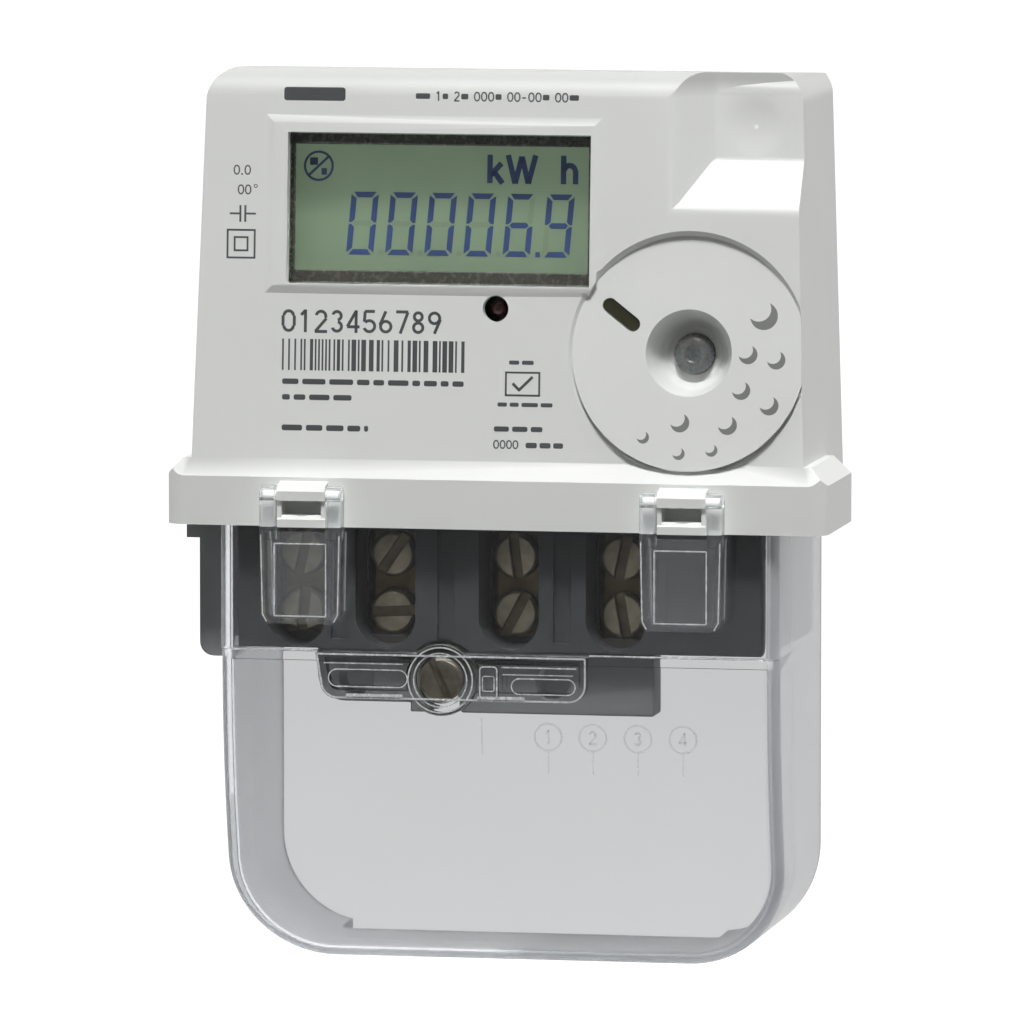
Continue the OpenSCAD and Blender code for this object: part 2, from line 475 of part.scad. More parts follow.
// Brass bar with a cable bore and two tapped holes, and a blade on its top.
module bar(x, z1 = 4) color([0.78, 0.66, 0.36]) difference() {
    translate([x, 0, -20.5]) linear_extrude(z1 + 20.5)
        polygon([[-5, -20.5], [-5, -33.3], [-3.8, -34.5], [3.8, -34.5], [5, -33.3], [5, -20.5]]);
    translate([x, -26.2, -21]) cylinder(r = cable_d / 2, h = 22, $fn = 48);
    for (z = [screw_z_up, screw_z_low]) ycyl(x, z, 2.55, -36, -26, 40);
}
module line_in_terminal() bar(term_x[0]);
module line_out_terminal() bar(term_x[1]);
module neutral_out_terminal() bar(term_x[2]);
module neutral_in_terminal() bar(term_x[3]);
// U-shaped link that stands on two bars.
module u_link(x0, x1, w, z1) along_y(-28.6, -26.6) polygon([
    [x0 - w, 4.0], [x0 + w, 4.0], [x0 + w, z1 - 3.6], [x1 - w, z1 - 3.6], [x1 - w, 4.0], [x1 + w, 4.0], [x1 + w, z1], [x0 - w, z1]]);
module current_shunt() color([0.72, 0.5, 0.36]) union() {
    u_link(term_x[0], term_x[1], 2.6, 12);
    along_y(-29.0, -26.2) translate([(term_x[0] + term_x[1]) / 2 - 3, 8.2]) square([6, 4]);
}
module neutral_link() color([0.72, 0.5, 0.36]) u_link(term_x[2], term_x[3], 2.6, 12);
// Two sense leads from the shunt to the board.
module lead(x, z0, z1, y0) { translate([x, y0, z0]) cylinder(r = 0.6, h = z1 - z0, $fn = 20); }
module shunt_leads() color([0.7, 0.15, 0.12]) for (x = [-31.4, -26.3]) lead(x, 12.22, 15.6, -27.6);
module neutral_lead() color([0.1, 0.1, 0.12]) lead(11.6, 12.02, 15.6, -27.6);

// Slotted clamping screw with a chamfered head, its slot at angle a.
module clamp_screw(x, z, a) color([0.55, 0.53, 0.44]) translate([x, -35, z]) difference() {
    rotate([90, 0, 0]) rotate_extrude($fn = 64) polygon([[0, -4.7], [2.2, -4.7], [2.5, -4.4], [2.5, 0], [screw_head_d / 2, 0],
        [screw_head_d / 2, 2.3], [screw_head_d / 2 - 0.6, 2.9], [0, 3.1]]);
    rotate([0, -a, 0]) translate([-6, -4, -0.95]) cube([12, 2.6, 1.9]);
}
module screw_1_upper() clamp_screw(term_x[0], screw_z_up, 76);
module screw_1_lower() clamp_screw(term_x[0], screw_z_low, 84);
module screw_2_upper() clamp_screw(term_x[1], screw_z_up, 55);
module screw_2_lower() clamp_screw(term_x[1], screw_z_low, 3);
module screw_3_upper() clamp_screw(term_x[2], screw_z_up, 97);
module screw_3_lower() clamp_screw(term_x[2], screw_z_low, 62);
module screw_4_upper() clamp_screw(term_x[3], screw_z_up, 78);
module screw_4_lower() clamp_screw(term_x[3], screw_z_low, 100);

// Clear terminal cover: a shell that is open to the wall and at the top.
cw = cover_w / 2;
module cover_outline(i) {
    r = cover_r - i;
    polygon(concat([[-cw + i, 2.5 + (i > 0 ? 1 : 0)]], arc(-cw + i + r, cover_z0 + i + r, r, 180, 270, 20),
        arc(cw - i - r, cover_z0 + i + r, r, 270, 360, 20), [[cw - i, 2.5 + (i > 0 ? 1 : 0)]]));
}
step_z = -22.6;
curve_y = -46.4;
module cover_shape(i, z0, y1) intersection() {
    along_y(-60, y1) cover_outline(i);
    union() {
        translate([-60, -cover_y + i, step_z + (i > 0 ? i * 0.0 : 0)]) cube([120, 60, 30]);
        intersection() {
            translate([-60, curve_y + cover_curve, -24]) rotate([0, 90, 0]) cylinder(r = cover_curve - i, h = 120, $fn = 360);
            translate([-60, -60, -100]) cube([120, 80, 100 + step_z + 0.01]);
        }
    }
}
module stadium(x0, x1, z, r, y0, y1) {
    ycyl(x0 + r, z, r, y0, y1, 40); ycyl(x1 - r, z, r, y0, y1, 40);
    translate([x0 + r, y0, z - r]) cube([x1 - x0 - 2 * r, y1 - y0, 2 * r]);
}
module terminal_cover() color([0.75, 0.8, 0.82, 0.45]) difference() {
    union() {
        difference() {
            cover_shape(0, 0, 0);
            cover_shape(cover_t, 0, 1);
        }
        // rib under the terminal block
        difference() { translate([-cw + 1, -45.6, -24.6]) cube([cover_w - 2, 2.4, 1.9]); }
        // boss of the sealing screw
        ycyl(seal_x, seal_z, 6.5, -47.4, -42.3, 64);
        // ridges on both sides of the boss
        difference() {
            stadium(-33, 16.4, -28, 3.1, -47.2, -45);
            stadium(-31.6, 15, -28, 1.7, -48, -46.6);
        }
    }
    // counterbore and hole of the screw
    ycyl(seal_x, seal_z, 4.25, -48, -45.0, 64);
    ycyl(seal_x, seal_z, 2.06, -50, -40, 48);
    // cable cut-out in the floor, open to the wall
    translate([-36, -9.5, cover_z0 - 1]) cube([70, 12, 5]);
}
module cover_screw() color([0.55, 0.53, 0.44]) translate([seal_x, -45.1, seal_z]) difference() {
    rotate([90, 0, 0]) rotate_extrude($fn = 64) polygon([[0, -10.6], [1.7, -10.6], [2, -10.3], [2, 0], [4, 0], [4, 1.9], [3.5, 2.4], [0, 2.5]]);
    rotate([0, 65, 0]) translate([-6, -4, -0.65]) cube([12, 2.7, 1.3]);
    // hole for a sealing wire
    translate([0, -0.75, 0]) rotate([0, 155, 0]) cylinder(r = 0.5, h = 12, center = true, $fn = 20);
}
module cover_screw_washer() color([0.9, 0.9, 0.88]) difference() {
    ycyl(seal_x, seal_z, 3.6, -42.0, -41.2, 40); ycyl(seal_x, seal_z, 2.0, -44, -40, 48);
}
module cover_screw_nut() color("silver") difference() {
    translate([seal_x - 3.5, -38.5, seal_z - 3.5]) cube([7, 3.1, 7]);
    ycyl(seal_x, seal_z, 2.06, -40, -30, 40);
}

// Clear sealing flap that hangs from the pivots of a loop, over the cover.
module seal_latch(x) color([0.82, 0.86, 0.88, 0.5]) translate([x, 0, 0]) difference() {
    union() {
        // ears
        for (s = [-1, 1]) along_x(s > 0 ? 4.75 : -7.4, s > 0 ? 7.4 : -4.75) polygon(concat(
            arc(-latch_y, latch_z, 1.8, 0, 180, 10), [[-latch_y - 1.8, -2.2], [-latch_y + 1.5, -2.2], [-latch_y + 1.5, -0.6]]));
        // flap
        along_y(-latch_y - 1.8, -latch_y - 0.4) polygon([[-7.4, -0.7], [7.4, -0.7], [7.1, -15.6], [6.2, -17.1], [-6.2, -17.1], [-7.1, -15.6]]);
        // turned-back edges of the flap
        along_y(-latch_y - 1, -48.5) difference() {
            polygon([[-7.4, -0.9], [7.4, -0.9], [7.1, -15.6], [6.2, -17.1], [-6.2, -17.1], [-7.1, -15.6]]);
            polygon([[-6.2, 1], [6.2, 1], [5.9, -15.2], [5.3, -16.1], [-5.3, -16.1], [-5.9, -15.2]]);
        }
    }
    for (s = [-1, 1]) xcyl(-latch_y, latch_z, 0.96, s > 0 ? 3 : -9, s > 0 ? 9 : -3);
    // sunk window of the flap
    along_y(-latch_y - 3, -latch_y - 1.1) translate([-4.5, -15.5]) square([9, 12.7]);
}
module seal_latch_left() seal_latch(-latch_x);
module seal_latch_right() seal_latch(latch_x);

rear_base();
terminal_block();
lower_panel();
line_in_terminal();
line_out_terminal();
neutral_in_terminal();
neutral_out_terminal();
current_shunt();
shunt_leads();
neutral_link();
neutral_lead();
main_cover();
cover_gasket();
case_screws();
block_screws();
display_window();
lcd_frame();
lcd_glass();
lcd_contact_strips();
backlight_plate();
indicator_window();
indicator_leds();
pulse_led();
main_pcb();
pcb_screws();
metering_chips();
smd_parts();
clock_crystal();
dropper_capacitor();
filter_capacitors();
surge_varistor();
backup_battery();
tact_switch();
switch_plunger();
scroll_button();
seal_latch_left();
seal_latch_right();
terminal_cover();
cover_screw_nut();
cover_screw();
cover_screw_washer();
screw_1_upper();
screw_1_lower();
screw_2_upper();
screw_2_lower();
screw_3_upper();
screw_3_lower();
screw_4_upper();
screw_4_lower();
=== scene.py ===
import bpy
import bmesh
import math
import numpy as np
from mathutils import Matrix, Vector


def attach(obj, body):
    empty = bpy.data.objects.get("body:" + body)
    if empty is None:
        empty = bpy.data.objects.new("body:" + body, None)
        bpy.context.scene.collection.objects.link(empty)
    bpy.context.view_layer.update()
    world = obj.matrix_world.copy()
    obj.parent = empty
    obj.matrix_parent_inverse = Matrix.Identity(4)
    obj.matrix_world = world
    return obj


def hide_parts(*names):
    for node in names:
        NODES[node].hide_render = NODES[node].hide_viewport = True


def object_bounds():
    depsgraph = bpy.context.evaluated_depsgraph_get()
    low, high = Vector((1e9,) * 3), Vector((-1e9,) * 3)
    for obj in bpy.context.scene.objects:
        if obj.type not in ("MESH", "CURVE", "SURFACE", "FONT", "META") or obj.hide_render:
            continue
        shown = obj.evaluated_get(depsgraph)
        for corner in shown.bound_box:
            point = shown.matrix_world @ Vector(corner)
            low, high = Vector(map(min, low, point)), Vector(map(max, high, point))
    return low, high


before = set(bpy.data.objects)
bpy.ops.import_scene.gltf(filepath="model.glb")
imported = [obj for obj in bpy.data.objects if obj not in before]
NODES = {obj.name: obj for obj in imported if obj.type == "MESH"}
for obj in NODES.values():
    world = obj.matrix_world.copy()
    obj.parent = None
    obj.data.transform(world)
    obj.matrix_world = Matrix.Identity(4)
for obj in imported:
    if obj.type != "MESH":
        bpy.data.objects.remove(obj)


def plain(b):
    return [[float(c) for c in v] for v in b]


CAD_BOX = plain(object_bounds())
MM = 0.001
TILT = math.radians(4.04)
FACE_Y, FLANGE_TOP = -48.2, 12.0
DIAL_X, DIAL_Z, DIAL_R, DIAL_TILT = 34.7, 32.0, 20.9, math.radians(3.5)


def fs(z):
    return (z - FLANGE_TOP) / math.cos(TILT)


# Face frame: local x across, local y into the body, local z up the face. In mm.
FACE = Matrix.Translation((0, FACE_Y, FLANGE_TOP)) @ Matrix.Rotation(-TILT, 4, "X")
DIAL = FACE @ Matrix.Translation((DIAL_X, 0, fs(DIAL_Z))) @ Matrix.Rotation(-DIAL_TILT, 4, "X")
SCALE = Matrix.Scale(MM, 4)


# ------------------------------------------------------------------ materials
def new_mat(name):
    m = bpy.data.materials.new(name)
    m.use_nodes = True
    nt = m.node_tree
    nt.nodes.clear()
    out = nt.nodes.new("ShaderNodeOutputMaterial")
    bsdf = nt.nodes.new("ShaderNodeBsdfPrincipled")
    nt.links.new(bsdf.outputs[0], out.inputs[0])
    return m, nt, bsdf


def noise(nt, scale, detail=3.0, rough=0.5, stretch=None):
    tc = nt.nodes.new("ShaderNodeTexCoord")
    n = nt.nodes.new("ShaderNodeTexNoise")
    n.inputs["Scale"].default_value = scale
    n.inputs["Detail"].default_value = detail
    n.inputs["Roughness"].default_value = rough
    if stretch:
        mp = nt.nodes.new("ShaderNodeMapping")
        mp.inputs["Scale"].default_value = stretch
        nt.links.new(tc.outputs["Object"], mp.inputs["Vector"])
        nt.links.new(mp.outputs[0], n.inputs["Vector"])
    else:
        nt.links.new(tc.outputs["Object"], n.inputs["Vector"])
    return n


def ramp(nt, src, p0, c0, p1, c1):
    r = nt.nodes.new("ShaderNodeValToRGB")
    r.color_ramp.elements[0].position = p0
    r.color_ramp.elements[0].color = (*c0, 1)
    r.color_ramp.elements[1].position = p1
    r.color_ramp.elements[1].color = (*c1, 1)
    nt.links.new(src, r.inputs[0])
    return r


def maprange(nt, src, a, b, lo=0.3, hi=0.7):
    r = nt.nodes.new("ShaderNodeMapRange")
    r.inputs["From Min"].default_value = lo
    r.inputs["From Max"].default_value = hi
    r.inputs["To Min"].default_value = a
    r.inputs["To Max"].default_value = b
    nt.links.new(src, r.inputs["Value"])
    return r


def plastic(name, col, rough=0.42, vary=0.03, grain=2600.0, bump=0.05, spec=0.5, coat=0.0, cloud=60.0):
    """Moulded plastic: faint clouding of the colour, a fine spark-eroded grain and uneven gloss."""
    m, nt, b = new_mat(name)
    n1 = noise(nt, cloud, 4.0)
    c0 = tuple(max(0.0, c * (1 - vary)) for c in col)
    c1 = tuple(min(1.0, c * (1 + vary)) for c in col)
    r = ramp(nt, n1.outputs["Fac"], 0.3, c0, 0.7, c1)
    nt.links.new(r.outputs[0], b.inputs["Base Color"])
    n2 = noise(nt, grain, 2.0)
    mr = maprange(nt, n2.outputs["Fac"], rough - 0.05, rough + 0.06)
    nt.links.new(mr.outputs[0], b.inputs["Roughness"])
    bp = nt.nodes.new("ShaderNodeBump")
    bp.inputs["Strength"].default_value = bump
    bp.inputs["Distance"].default_value = 0.0002
    nt.links.new(n2.outputs["Fac"], bp.inputs["Height"])
    nt.links.new(bp.outputs[0], b.inputs["Normal"])
    b.inputs["Specular IOR Level"].default_value = spec
    b.inputs["IOR"].default_value = 1.5
    if coat:
        b.inputs["Coat Weight"].default_value = coat
        b.inputs["Coat Roughness"].default_value = 0.12
    return m


def clear(name, col, rough=0.03, ior=1.585, wave=0.012):
    """Clear polycarbonate: slight tint, slow moulding waves and a trace of haze."""
    m, nt, b = new_mat(name)
    n1 = noise(nt, 45.0, 2.0)
    c0 = tuple(c * 0.985 for c in col)
    r = ramp(nt, n1.outputs["Fac"], 0.3, c0, 0.7, col)
    nt.links.new(r.outputs[0], b.inputs["Base Color"])
    n2 = noise(nt, 900.0, 2.0)
    mr = maprange(nt, n2.outputs["Fac"], rough * 0.6, rough * 1.5)
    nt.links.new(mr.outputs[0], b.inputs["Roughness"])
    bp = nt.nodes.new("ShaderNodeBump")
    bp.inputs["Strength"].default_value = wave
    bp.inputs["Distance"].default_value = 0.001
    n3 = noise(nt, 70.0, 1.0)
    nt.links.new(n3.outputs["Fac"], bp.inputs["Height"])
    nt.links.new(bp.outputs[0], b.inputs["Normal"])
    b.inputs["Transmission Weight"].default_value = 1.0
    b.inputs["IOR"].default_value = ior
    return m


def metal(name, col, rough=0.32, vary=0.12, scratch=True, tarnish=None):
    m, nt, b = new_mat(name)
    n1 = noise(nt, 320.0, 5.0, 0.6)
    c0 = tarnish or tuple(c * (1 - vary) for c in col)
    r = ramp(nt, n1.outputs["Fac"], 0.32, c0, 0.66, col)
    nt.links.new(r.outputs[0], b.inputs["Base Color"])
    n2 = noise(nt, 1500.0, 3.0, 0.6, stretch=(1, 1, 9) if scratch else None)
    mr = maprange(nt, n2.outputs["Fac"], rough - 0.08, rough + 0.14)
    nt.links.new(mr.outputs[0], b.inputs["Roughness"])
    bp = nt.nodes.new("ShaderNodeBump")
    bp.inputs["Strength"].default_value = 0.12
    bp.inputs["Distance"].default_value = 0.0001
    nt.links.new(n2.outputs["Fac"], bp.inputs["Height"])
    nt.links.new(bp.outputs[0], b.inputs["Normal"])
    b.inputs["Metallic"].default_value = 1.0
    return m


def along(nt, axis, a, b):
    """0 to 1 between two object-space positions on one axis."""
    tc = nt.nodes.new("ShaderNodeTexCoord")
    sep = nt.nodes.new("ShaderNodeSeparateXYZ")
    nt.links.new(tc.outputs["Object"], sep.inputs[0])
    return maprange(nt, sep.outputs[axis], 0.0, 1.0, a, b)


def math_node(nt, op, a, b=None):
    n = nt.nodes.new("ShaderNodeMath")
    n.operation = op
    for i, v in enumerate((a, b)):
        if v is None:
            continue
        if isinstance(v, (int, float)):
            n.inputs[i].default_value = v
        else:
            nt.links.new(v, n.inputs[i])
    return n.outputs[0]


def painted_shade_band(m, axis, a, b, keep, tint=(1.0, 0.95, 0.85)):
    """Darkens the base colour from one object-space position to another: painted shade on a top, in screw slots and
    on the upper band of a panel.
    """
    nt = m.node_tree
    bs = next(n for n in nt.nodes if n.type == "BSDF_PRINCIPLED")
    src = bs.inputs["Base Color"].links[0].from_socket
    t = along(nt, axis, a, b)
    r = ramp(nt, t.outputs[0], 0.0, (1, 1, 1), 1.0, tuple(keep * c for c in tint))
    mx = nt.nodes.new("ShaderNodeMix")
    mx.data_type = "RGBA"
    mx.blend_type = "MULTIPLY"
    mx.inputs[0].default_value = 1.0
    nt.links.new(src, mx.inputs[6])
    nt.links.new(r.outputs[0], mx.inputs[7])
    nt.links.new(mx.outputs[2], bs.inputs["Base Color"])


def milky_rim_with_painted_side_light(m, half_x, z_low, radius, depth, pass_through, tone):
    """Hazier plastic in the side and bottom walls, where the moulding is seen edge-on. The left wall is painted
    lighter and clearer than the right wall: painted light and shade.
    """
    nt = m.node_tree
    bs = next(n for n in nt.nodes if n.type == "BSDF_PRINCIPLED")
    tc = nt.nodes.new("ShaderNodeTexCoord")
    sep = nt.nodes.new("ShaderNodeSeparateXYZ")
    nt.links.new(tc.outputs["Object"], sep.inputs[0])
    ax = math_node(nt, "ABSOLUTE", sep.outputs["X"])
    qx = math_node(nt, "MAXIMUM", math_node(nt, "SUBTRACT", ax, (half_x - radius) * MM), 0.0)
    qz = math_node(nt, "MAXIMUM", math_node(nt, "SUBTRACT", (z_low + radius) * MM, sep.outputs["Z"]), 0.0)
    d = math_node(nt, "SQRT", math_node(nt, "ADD", math_node(nt, "MULTIPLY", qx, qx), math_node(nt, "MULTIPLY", qz, qz)))
    t = maprange(nt, d, 0.0, 1.0, (radius - depth - 0.5) * MM, (radius - depth + 0.5) * MM)
    # Painted light and shade: walls left of x = -4 mm get the lighter, clearer tone, and walls right of x = 4 mm get
    # the darker, hazier one.
    lit = maprange(nt, sep.outputs["X"], 0.0, 1.0, 0.004, -0.004)
    haze = maprange(nt, lit.outputs[0], 1.0 - pass_through, (1.0 - pass_through) * 0.4, 0.0, 1.0)
    tr = math_node(nt, "SUBTRACT", 1.0, math_node(nt, "MULTIPLY", t.outputs[0], haze.outputs[0]))
    nt.links.new(tr, bs.inputs["Transmission Weight"])
    src = bs.inputs["Base Color"].links[0].from_socket
    mx = nt.nodes.new("ShaderNodeMix")
    mx.data_type = "RGBA"
    nt.links.new(t.outputs[0], mx.inputs[0])
    nt.links.new(src, mx.inputs[6])
    tn = ramp(nt, lit.outputs[0], 0.0, tone, 1.0, tuple(min(0.96, c * 1.36) for c in tone))
    nt.links.new(tn.outputs[0], mx.inputs[7])
    nt.links.new(mx.outputs[2], bs.inputs["Base Color"])


WHITE = plastic("white_housing", (0.80, 0.81, 0.79), 0.40, 0.012, 2600, 0.035)
# Painted shade: the rounded top of the white housing is darkened from 77.2 mm, reaching 0.70 of its colour by 80.2
# mm.
painted_shade_band(WHITE, "Z", 0.0772, 0.0802, 0.70, (1.0, 1.0, 0.995))
DARK = plastic("dark_housing", (0.080, 0.087, 0.090), 0.42, 0.05, 2200, 0.03)
CLEAR = clear("clear_cover_plastic", (0.535, 0.54, 0.545), 0.03)
milky_rim_with_painted_side_light(CLEAR, 50.9, -79.5, 18.5, 2.15, 0.5, (0.67, 0.69, 0.71))
EMBOSS = clear("clear_cover_embossing", (0.87, 0.875, 0.88), 0.2, 1.48)
# Whitish, mostly diffuse plastic for thin strips on the clear edges: painted highlights.
PAINTED_EDGE_HIGHLIGHT = clear("painted_edge_highlight_plastic", (0.86, 0.88, 0.885), 0.24, 1.5)
next(n for n in PAINTED_EDGE_HIGHLIGHT.node_tree.nodes if n.type == "BSDF_PRINCIPLED").inputs["Transmission Weight"].default_value = 0.3
FLAPCLEAR = clear("clear_flap_plastic", (0.90, 0.92, 0.93), 0.04)
next(n for n in FLAPCLEAR.node_tree.nodes if n.type == "BSDF_PRINCIPLED").inputs["Transmission Weight"].default_value = 0.97
LENS = clear("clear_lens", (0.93, 0.95, 0.945), 0.015, 1.5, 0.004)
SCREW = metal("screw_steel", (0.40, 0.38, 0.32), 0.42, 0.2, tarnish=(0.24, 0.222, 0.175))
# A lighter copy of the screw steel for the screws in the terminal wells: painted light that lifts the shade of the
# wells.
WELLSCREW_LIGHTENED = metal("terminal_screw_steel_lightened", (0.92, 0.85, 0.63), 0.42, 0.2, tarnish=(0.60, 0.53, 0.37))
# A lighter grey copy of the dark housing plastic for the lower panel, darkened to 0.22 above the cover step at -22.6
# mm: the lighter lower band is painted light, standing for the lit clear cover in front of it.
PANEL = plastic("dark_housing_panel", (0.30, 0.31, 0.31), 0.42, 0.05, 2200, 0.03)
painted_shade_band(PANEL, "Z", -0.0236, -0.0226, 0.22)
# A lighter grey copy of the dark housing plastic for the rear base: painted light that lifts the flange's shadow off
# its hook.
BASE = plastic("dark_housing_base", (0.32, 0.335, 0.34), 0.42, 0.05, 2200, 0.03)
# Painted shade: the terminal screws fade to 0.42 of their colour from y = -37.8 mm inwards, darkening the slots and
# the parts below the heads.
painted_shade_band(WELLSCREW_LIGHTENED, "Y", -0.0378, -0.0368, 0.42)
BRASS = metal("terminal_brass", (0.36, 0.285, 0.15), 0.36, 0.15, tarnish=(0.22, 0.165, 0.085))
ZINC = metal("zinc_steel", (0.62, 0.63, 0.64), 0.3, 0.1)
SHUNT = metal("shunt_alloy", (0.58, 0.38, 0.27), 0.35)
COPPER = metal("link_copper", (0.70, 0.40, 0.27), 0.3)
INK = plastic("print_ink", (0.085, 0.09, 0.093), 0.5, 0.1, 3000, 0.05)
INKDOT = plastic("print_grey", (0.22, 0.225, 0.22), 0.5, 0.1, 3000, 0.05)
LCDINK = plastic("display_segment", (0.028, 0.052, 0.15), 0.35, 0.1, 1500, 0.02)
BEZEL = plastic("display_bezel", (0.055, 0.052, 0.043), 0.25, 0.3, 900, 0.05, coat=0.4, cloud=1600)
BEZELTOP = metal("display_reflector", (0.55, 0.55, 0.50), 0.3)
TINT = plastic("tinted_window", (0.045, 0.045, 0.026), 0.14, 0.15, 700, 0.02, coat=0.5)
RUBBER = plastic("gasket_rubber", (0.03, 0.03, 0.03), 0.75, 0.1, 1800, 0.2)
CONTACT = plastic("contact_rubber", (0.45, 0.28, 0.28), 0.7, 0.2, 1800, 0.2)
NYLON = plastic("washer_nylon", (0.75, 0.75, 0.71), 0.5)
PCB = plastic("board_laminate", (0.02, 0.14, 0.055), 0.3, 0.2, 1200, 0.08, coat=0.3, cloud=400)
CHIP = plastic("chip_epoxy", (0.02, 0.02, 0.022), 0.5, 0.2)
CERAMIC = plastic("chip_ceramic", (0.36, 0.28, 0.18), 0.5, 0.2, cloud=500)
CAPBOX = plastic("capacitor_case", (0.62, 0.50, 0.06), 0.35)
SLEEVE = plastic("capacitor_sleeve", (0.02, 0.035, 0.12), 0.3)
VARI = plastic("varistor_coat", (0.04, 0.11, 0.34), 0.4)
LAMP = plastic("lamp_epoxy", (0.05, 0.012, 0.012), 0.15, coat=0.5)
DIFF = plastic("diffuser", (0.7, 0.75, 0.64), 0.5)
REDW = plastic("red_insulation", (0.5, 0.03, 0.025), 0.35)
BLACKW = plastic("black_insulation", (0.02, 0.02, 0.022), 0.35)
PLUNGER = plastic("plunger_plastic", (0.5, 0.08, 0.06), 0.4)


def lcd_material(name, k=1.0):
    """Grey-green display glass over a lit plate: part reflected, part glow. The glow stands for a backlight and is
    also painted light that weakens shadows on the glass.
    """
    m, nt, b = new_mat(name)
    n1 = noise(nt, 90.0, 3.0)
    r = ramp(nt, n1.outputs["Fac"], 0.3, (0.125 * k, 0.168 * k, 0.108 * k), 0.7, (0.140 * k, 0.186 * k, 0.120 * k))
    nt.links.new(r.outputs[0], b.inputs["Base Color"])
    e = ramp(nt, n1.outputs["Fac"], 0.3, (0.084 * k, 0.120 * k, 0.078 * k), 0.7, (0.091 * k, 0.128 * k, 0.084 * k))
    nt.links.new(e.outputs[0], b.inputs["Emission Color"])
    # Painted light: the glow grows from 0.44 at the bottom to 1.16 at the top of the glass, filling in the shadow
    # that the window frame casts there.
    up = along(nt, "Z", 0.047, 0.072)
    up.inputs["To Min"].default_value = 0.44
    up.inputs["To Max"].default_value = 1.16
    nt.links.new(up.outputs[0], b.inputs["Emission Strength"])
    n2 = noise(nt, 3800.0, 2.0)
    mr = maprange(nt, n2.outputs["Fac"], 0.30, 0.42)
    nt.links.new(mr.outputs[0], b.inputs["Roughness"])
    bp = nt.nodes.new("ShaderNodeBump")
    bp.inputs["Strength"].default_value = 0.06
    bp.inputs["Distance"].default_value = 0.0001
    nt.links.new(n2.outputs["Fac"], bp.inputs["Height"])
    nt.links.new(bp.outputs[0], b.inputs["Normal"])
    return m


LCD = lcd_material("display_glass")
LCDGHOST = lcd_material("display_segment_off", 0.88)


def button_material():
    m, nt, b = new_mat("button_translucent")
    tc = nt.nodes.new("ShaderNodeTexCoord")
    sep = nt.nodes.new("ShaderNodeSeparateXYZ")
    nt.links.new(tc.outputs["Object"], sep.inputs[0])
    dx = math_node(nt, "SUBTRACT", sep.outputs["X"], 0.0347)
    dz = math_node(nt, "SUBTRACT", sep.outputs["Z"], 0.0311)
    rr = math_node(nt, "SQRT", math_node(nt, "ADD", math_node(nt, "MULTIPLY", dx, dx), math_node(nt, "MULTIPLY", dz, dz)))
    cr = nt.nodes.new("ShaderNodeValToRGB")
    for i, (p, v) in enumerate(((0.0, 0.115), (0.32, 0.13), (0.40, 0.21), (0.52, 0.15), (0.74, 0.145), (0.90, 0.20))):
        e = cr.color_ramp.elements[i] if i < 2 else cr.color_ramp.elements.new(p)
        e.position = p
        e.color = (v * 0.94, v, v * 1.01, 1)
    nt.links.new(maprange(nt, rr, 0.0, 1.0, 0.0, 0.0045).outputs[0], cr.inputs[0])
    nt.links.new(cr.outputs[0], b.inputs["Base Color"])
    n2 = noise(nt, 2200.0, 2.0)
    mr = maprange(nt, n2.outputs["Fac"], 0.22, 0.34)
    nt.links.new(mr.outputs[0], b.inputs["Roughness"])
    b.inputs["Subsurface Weight"].default_value = 0.35
    b.inputs["Subsurface Scale"].default_value = 0.0015
    b.inputs["Coat Weight"].default_value = 0.3
    b.inputs["Coat Roughness"].default_value = 0.1
    return m


BUTTON = button_material()

MATS = {
    "rear_base": BASE, "terminal_block": DARK, "lower_panel": PANEL, "line_in_terminal": BRASS, "line_out_terminal": BRASS,
    "neutral_in_terminal": BRASS, "neutral_out_terminal": BRASS, "current_shunt": SHUNT, "shunt_leads": REDW,
    "neutral_link": COPPER, "neutral_lead": BLACKW, "main_cover": WHITE, "cover_gasket": RUBBER,
    "case_screws": ZINC, "block_screws": ZINC, "display_window": LENS, "lcd_frame": BEZEL, "lcd_glass": LCD,
    "lcd_contact_strips": CONTACT, "backlight_plate": DIFF, "indicator_window": TINT, "indicator_leds": LAMP,
    "pulse_led": LAMP, "main_pcb": PCB, "pcb_screws": ZINC, "metering_chips": CHIP, "smd_parts": CERAMIC,
    "clock_crystal": ZINC, "dropper_capacitor": CAPBOX, "filter_capacitors": SLEEVE, "surge_varistor": VARI,
    "backup_battery": ZINC, "tact_switch": CHIP, "switch_plunger": PLUNGER, "scroll_button": BUTTON,
    "seal_latch_left": FLAPCLEAR, "seal_latch_right": FLAPCLEAR, "terminal_cover": CLEAR,
    "cover_screw_nut": ZINC, "cover_screw": SCREW, "cover_screw_washer": NYLON,
}
BEVEL = {
    "main_cover": 0.5, "rear_base": 0.5, "terminal_block": 0.45, "lower_panel": 0.4, "seal_latch_left": 0.3, "seal_latch_right": 0.3,
    "terminal_cover": 0.4, "cover_screw": 0.16, "lcd_frame": 0.3, "main_pcb": 0.1, "smd_parts": 0.08,
    "indicator_leds": 0.05, "shunt_leads": 0.05, "neutral_lead": 0.05, "pulse_led": 0.08, "lcd_glass": 0.08,
    "display_window": 0.15, "scroll_button": 0.15, "clock_crystal": 0.06, "cover_screw_washer": 0.12,
}


